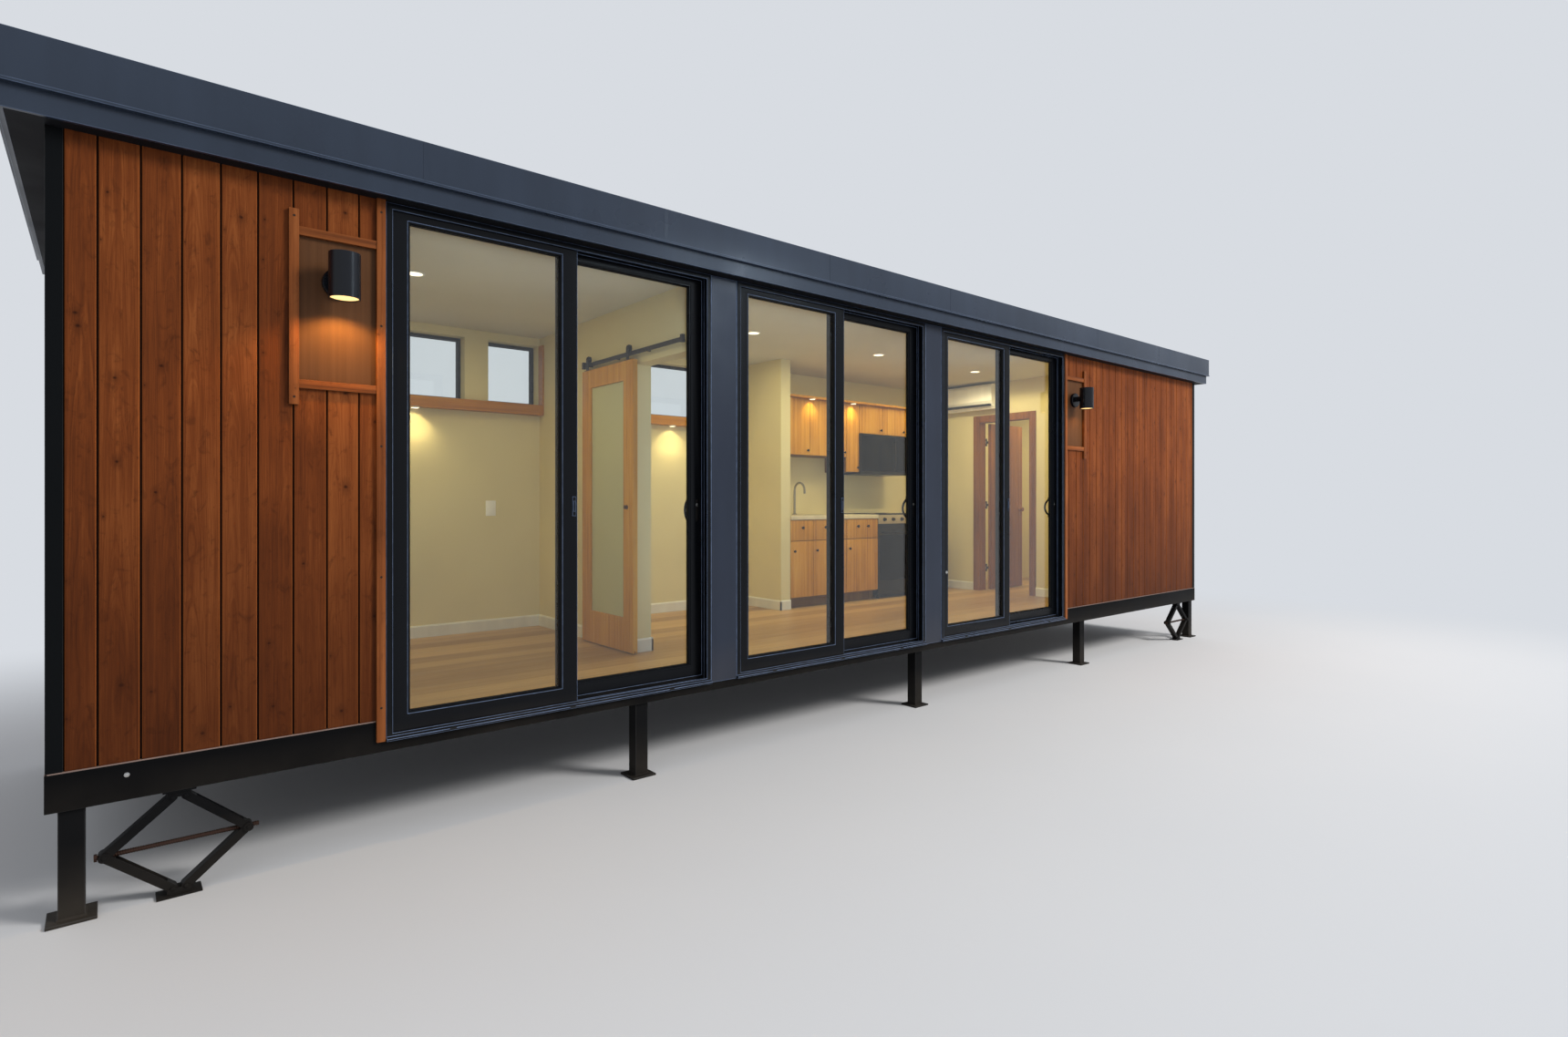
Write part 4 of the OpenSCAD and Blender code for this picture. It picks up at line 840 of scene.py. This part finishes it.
fronts, tops, knobs, metal, blacks = (Shape() for _ in range(5))
base_face, wall_face = room_back - 0.61, room_back - 0.33
cooker_end = cooker_x + 0.761
base, drawer, worktop, cornice = floor_z + 0.105, 1.215, counter_z - 0.04, floor_z + 2.13


def cabinet(x0, x1, z0, z1, y, knob=None):
    """One cabinet front with a small knob, set off from its neighbours by a gap where the darkened carcass
    shows as painted shade.
    """
    fronts.box((x0 + 0.0035, y - FRONT, z0 + 0.0035), (x1 - 0.0035, y - 0.0003, z1 - 0.0035))
    if knob:
        knobs.lathe((knob[0], y - FRONT, knob[1]), DOOR_KNOB, "Y", 20)


for x0, x1 in ((kitchen_x, kitchen_x + 0.3), (kitchen_x + 0.3, kitchen_x + 0.767),
               (kitchen_x + 0.767, cooker_x - 0.001), (cooker_end, kitchen_end)):
    middle = (x0 + x1) / 2
    cabinet(x0, x1, drawer, worktop, base_face)
    for x in ((middle - 0.075, middle + 0.075) if x1 - x0 > 0.4 else (middle,)):
        knobs.lathe((x, base_face - FRONT, 1.345), DRAWER_KNOB, "Y", 20)
    cabinet(x0, x1, base, drawer, base_face, (x0 + 0.045, drawer - 0.1))
for x0, x1, z0 in ((kitchen_x, x_left + 5.78, 1.54), (x_left + 5.78, cooker_x - 0.2, 1.54),
                   (cooker_x - 0.2, cooker_x, 1.38), (cooker_x, cooker_x + 0.38, 1.812),
                   (cooker_x + 0.38, cooker_x + 0.76, 1.812), (cooker_x + 0.76, kitchen_end, 1.812)):
    cabinet(x0, x1, floor_z + z0, cornice, wall_face, (x1 - 0.035, floor_z + z0 + 0.05))
fronts.box((kitchen_x, wall_face - 0.09, cornice), (kitchen_end, room_back, cornice + 0.02))
fronts.done("cabinet_fronts", "warm_wood", honey_fronts, 0.0015)
knobs.done("cabinet_knobs", "track_steel", black_iron)
for x0, x1 in ((kitchen_x, cooker_x - 0.001), (cooker_end, kitchen_end)):
    tops.box((x0, room_back - 0.634, counter_z - 0.039), (x1, room_back, counter_z + 0.0015))
tops.done("counter_tops", "plaster", counter, 0.003)


def before_back(shape, x0, x1, y0, y1, z0, z1):
    """A box by its place from the cooker's left side and from the room's back."""
    shape.box((cooker_x + x0, room_back - y0, z0), (cooker_x + x1, room_back - y1, z1))


sink = kitchen_x + 0.52
sink_rim = ((0, 0.0012), (0, 0.0045), (0.02, 0.0045), (0.026, 0.002), (0.026, 0.0012))
metal.loop([[(sink + sx * (0.215 - e), room_back - 0.345 + sy * (0.185 - e), counter_z + h)
             for e, h in sink_rim] for sx, sy in ((-1, -1), (1, -1), (1, 1), (-1, 1))], True)
before_back(metal, 0.004, 0.756, 0.6285, 0.624, counter_z - 0.1, counter_z - 0.004)
metal.done("cooker_panel_and_sink", "appliance_steel", cooker_steel, 0.001)
before_back(blacks, 0.03, 0.73, 0.6285, 0.6245, floor_z + 0.2, floor_z + 0.69)
before_back(blacks, 0.012, 0.56, 0.374, 0.3695, floor_z + 1.395, floor_z + 1.795)
before_back(blacks, 0.572, 0.748, 0.374, 0.3695, floor_z + 1.395, floor_z + 1.795)
before_back(blacks, 0.01, 0.75, 0.6, 0.04, counter_z + 0.0055, counter_z + 0.0085)
blacks.done("appliance_glass", "appliance_steel", black_glass, 0.0012)
DIAL = [(0.021, 0.001), (0.021, -0.006), (0.016, -0.01), (0.015, -0.024), (0.012, -0.026)]
dials = Shape()
for k in range(5):
    dials.lathe((cooker_x + 0.1 + k * 0.14, room_back - 0.6285, counter_z - 0.052), DIAL, "Y", 28)
for dx, dy in ((0.2, -0.46), (0.56, -0.46), (0.2, -0.18), (0.56, -0.18)):
    for r in (0.045, 0.085):
        dials.ring((cooker_x + dx, room_back + dy, counter_z),
                   ((r - 0.004, 0.008), (r - 0.004, 0.0105), (r + 0.004, 0.0105), (r + 0.004, 0.008)), 32)
before_back(dials, 0.535, 0.553, 0.4, 0.39, floor_z + 1.43, floor_z + 1.76)
for z in (1.45, 1.73):
    before_back(dials, 0.538, 0.55, 0.392, 0.372, floor_z + z, floor_z + z + 0.015)
dials.done("cooker_dials_and_handle", "appliance_steel", black_iron, 0.001)

# ---------------- air conditioner

Shape().box((ac_low.x + 0.004, ac_low.y + 0.03, ac_low.z + 0.03),
            (ac_low.x + 0.05, ac_high.y - 0.03, ac_low.z + 0.052)).done(
    "air_vent", "white_plastic", black_rubber)
flap = Shape()
flap.loop([[(ac_low.x - 0.0008 + u, y, ac_low.z + v)
            for u, v in ((0.0, 0.089), (0.004, 0.091), (0.06, 0.02), (0.056, 0.016))]
           for y in (ac_low.y + 0.034, ac_high.y - 0.034)])
flap.box((ac_low.x - 0.001, ac_low.y + 0.004, ac_low.z + 0.096),
         (ac_low.x + 0.002, ac_high.y - 0.004, ac_high.z - 0.036))
flap.done("air_flap", "white_plastic", white_case, 0.0012)

# ---------------- stage, lights and camera

BACKDROP = rgb(216, 220, 226)


def see_pale(tree):
    """One for what the camera, reflections and glass see, zero for the light on the object."""
    path = tree.nodes.new("ShaderNodeLightPath")
    total = path.outputs["Is Camera Ray"]
    for key in ("Is Glossy Ray", "Is Transmission Ray"):
        add = tree.nodes.new("ShaderNodeMath")
        add.operation, add.use_clamp = "ADD", True
        tree.links.new(total, add.inputs[0])
        tree.links.new(path.outputs[key], add.inputs[1])
        total = add.outputs[0]
    return total


def stage_floor():
    """A wide pale floor that turns into the background a few metres off the building."""
    data = bpy.data.meshes.new("stage_floor")
    made = bmesh.new()
    made.faces.new([made.verts.new((90 * cos(t), 90 * sin(t), 0)) for t in turns(96)])
    made.to_mesh(data)
    made.free()
    floor = put_in_scene("stage_floor", data)
    m = Material("stage_floor", Roughness=0.9)
    m.set("Base Color", m.mix(m.noise(scale=0.6), rgb(202, 203, 205), rgb(208, 208, 209)))
    x, y, _ = m.parts()
    gap_x, gap_y = (m.calc("MAXIMUM", m.take(m.calc("ABSOLUTE", at), half), 0.0)
                    for at, half in ((x, x_right), (y, half_y)))
    away = m.calc("SQRT", m.add(m.scale(gap_x, gap_x), m.scale(gap_y, gap_y)))
    fade = m.node("ShaderNodeMapRange", {0: away, 1: 0.4, 2: 5.5}, interpolation_type="SMOOTHSTEP").outputs[0]
    shine = m.node("ShaderNodeEmission", {"Color": BACKDROP, "Strength": 1.0})
    blend = m.node("ShaderNodeMixShader", {0: m.scale(fade, see_pale(m.tree)), 1: m.shader.outputs[0],
                                           2: shine.outputs[0]})
    m.tree.links.new(blend.outputs[0], m.tree.nodes["Material Output"].inputs[0])
    data.materials.append(m.material)


stage_floor()
world = bpy.data.worlds.new("studio")
bpy.context.scene.world = world
world.use_nodes = True
tree = world.node_tree
tree.nodes.clear()
output = tree.nodes.new("ShaderNodeOutputWorld")
choose = tree.nodes.new("ShaderNodeMixShader")
tree.links.new(see_pale(tree), choose.inputs[0])
tree.links.new(choose.outputs[0], output.inputs[0])
for socket, colour, strength in ((1, (0.92, 0.95, 1.0, 1.0), 0.62), (2, BACKDROP, 1.0)):
    sky = tree.nodes.new("ShaderNodeBackground")
    sky.inputs[0].default_value, sky.inputs[1].default_value = colour, strength
    tree.links.new(sky.outputs[0], choose.inputs[socket])


def lamp(name, kind, place, aim, power, colour, shown=False, **settings):
    """A lamp that the camera doesn't see, and that reflections show only when asked."""
    data = bpy.data.lights.new(name, kind)
    data.energy, data.color = power, colour
    for key, value in settings.items():
        setattr(data, key, value)
    made = put_in_scene(name, data)
    made.location = place
    made.rotation_euler = (Vector(aim) - Vector(place)).to_track_quat("-Z", "Y").to_euler()
    made.visible_camera = made.visible_transmission = False
    made.visible_glossy = shown


def beam(name, place, lean, power, colour, angle, blend, soft):
    """A spot lamp that shines down, its aim on the ground moved back by the lean."""
    x, y, _ = place
    lamp(name, "SPOT", place, (x, y + lean, 0), power, colour, spot_size=radians(angle),
         spot_blend=blend, shadow_soft_size=soft)


lamp("key_light", "AREA", (7.0, -13.0, 11.0), (0.0, 0.0, 1.5), 2750.0, (1.0, 0.97, 0.93), size=5.0)
lamp("side_light", "SPOT", (6.6, -8.5, 2.5), (3.9, front_y, 1.95), 520.0, (1.0, 0.9, 0.8),
     spot_size=radians(30), spot_blend=1.0, shadow_soft_size=0.8)
# the bright streak on the left lamp
lamp("strip_light", "AREA", (1.94, -6.6, 4.55), (-2.5, -2.7, 4.4), 12.0, (0.72, 0.87, 1.0), True,
     shape="RECTANGLE", size=0.42, size_y=1.4, spread=radians(80))
for name, x, y, size_x, size_y, power in (
        ("bedroom_light", -3.5, 0.1, 1.8, 1.4, 7.0), ("living_light", -0.9, 0.1, 1.6, 1.4, 11.0),
        ("kitchen_light", 1.5, -0.1, 2.2, 1.2, 20.0), ("bath_light", 4.0, 0.0, 1.0, 1.2, 26.0)):
    lamp(name, "AREA", (x, y, ceiling_z - 0.03), (x, y, 0), power, (1.0, 0.89, 0.52), shape="RECTANGLE",
         size=size_x, size_y=size_y)
for i, x in enumerate(units, 1):
    x += UNIT_W / 2
    lamp(f"day_light_{i}", "AREA", (x, room_front + 0.03, 1.75), (x, room_back, 1.65), 6.5,
         (0.86, 0.94, 1.0), shape="RECTANGLE", size=1.7, size_y=2.2)
ceiling_powers = ((22.0, 0.5), (22.0, 0.5), (24.0, 0.5), (40.0, 0.2))
for i, ((x, y, z), (power, blend)) in enumerate(zip(ceiling_spots, ceiling_powers), 1):
    beam(f"ceiling_beam_{i}", (x, y, z - 0.012), 0.01, power, (1.0, 0.87, 0.54), 168, blend, 0.04)
for i, ((x, y), power) in enumerate(zip(lamp_spots, (17.0, 3.0)), 1):
    beam(f"lamp_beam_{i}", (x, y, lamp_z - 0.002), 0.02, power, (1.0, 0.6, 0.16), 142, 0.5, 0.02)
for i, ((x, y, z), power) in enumerate(zip(pucks, (13.0, 15.0, 6.0, 7.0)), 1):
    beam(f"puck_beam_{i}", (x, y, z - 0.016), 0.02, power, (1.0, 0.84, 0.46), 130, 0.9, 0.02)

PHOTO_W, FOCAL, SENSOR = 1720, 873, 36.0    # photo's width and focal length in pixels, sensor in mm
camera_data = bpy.data.cameras.new("camera")
camera_data.sensor_fit, camera_data.sensor_width = "HORIZONTAL", SENSOR
camera_data.lens = FOCAL / PHOTO_W * SENSOR
camera_data.shift_y = -18 / PHOTO_W
camera = put_in_scene("camera", camera_data)
camera.location = (x_left + 0.171, front_y - 4.056, 1.6)
camera.rotation_euler = (radians(90), 0, -radians(40.44))
bpy.context.scene.camera = camera
bpy.context.scene.view_settings.view_transform = "Standard"
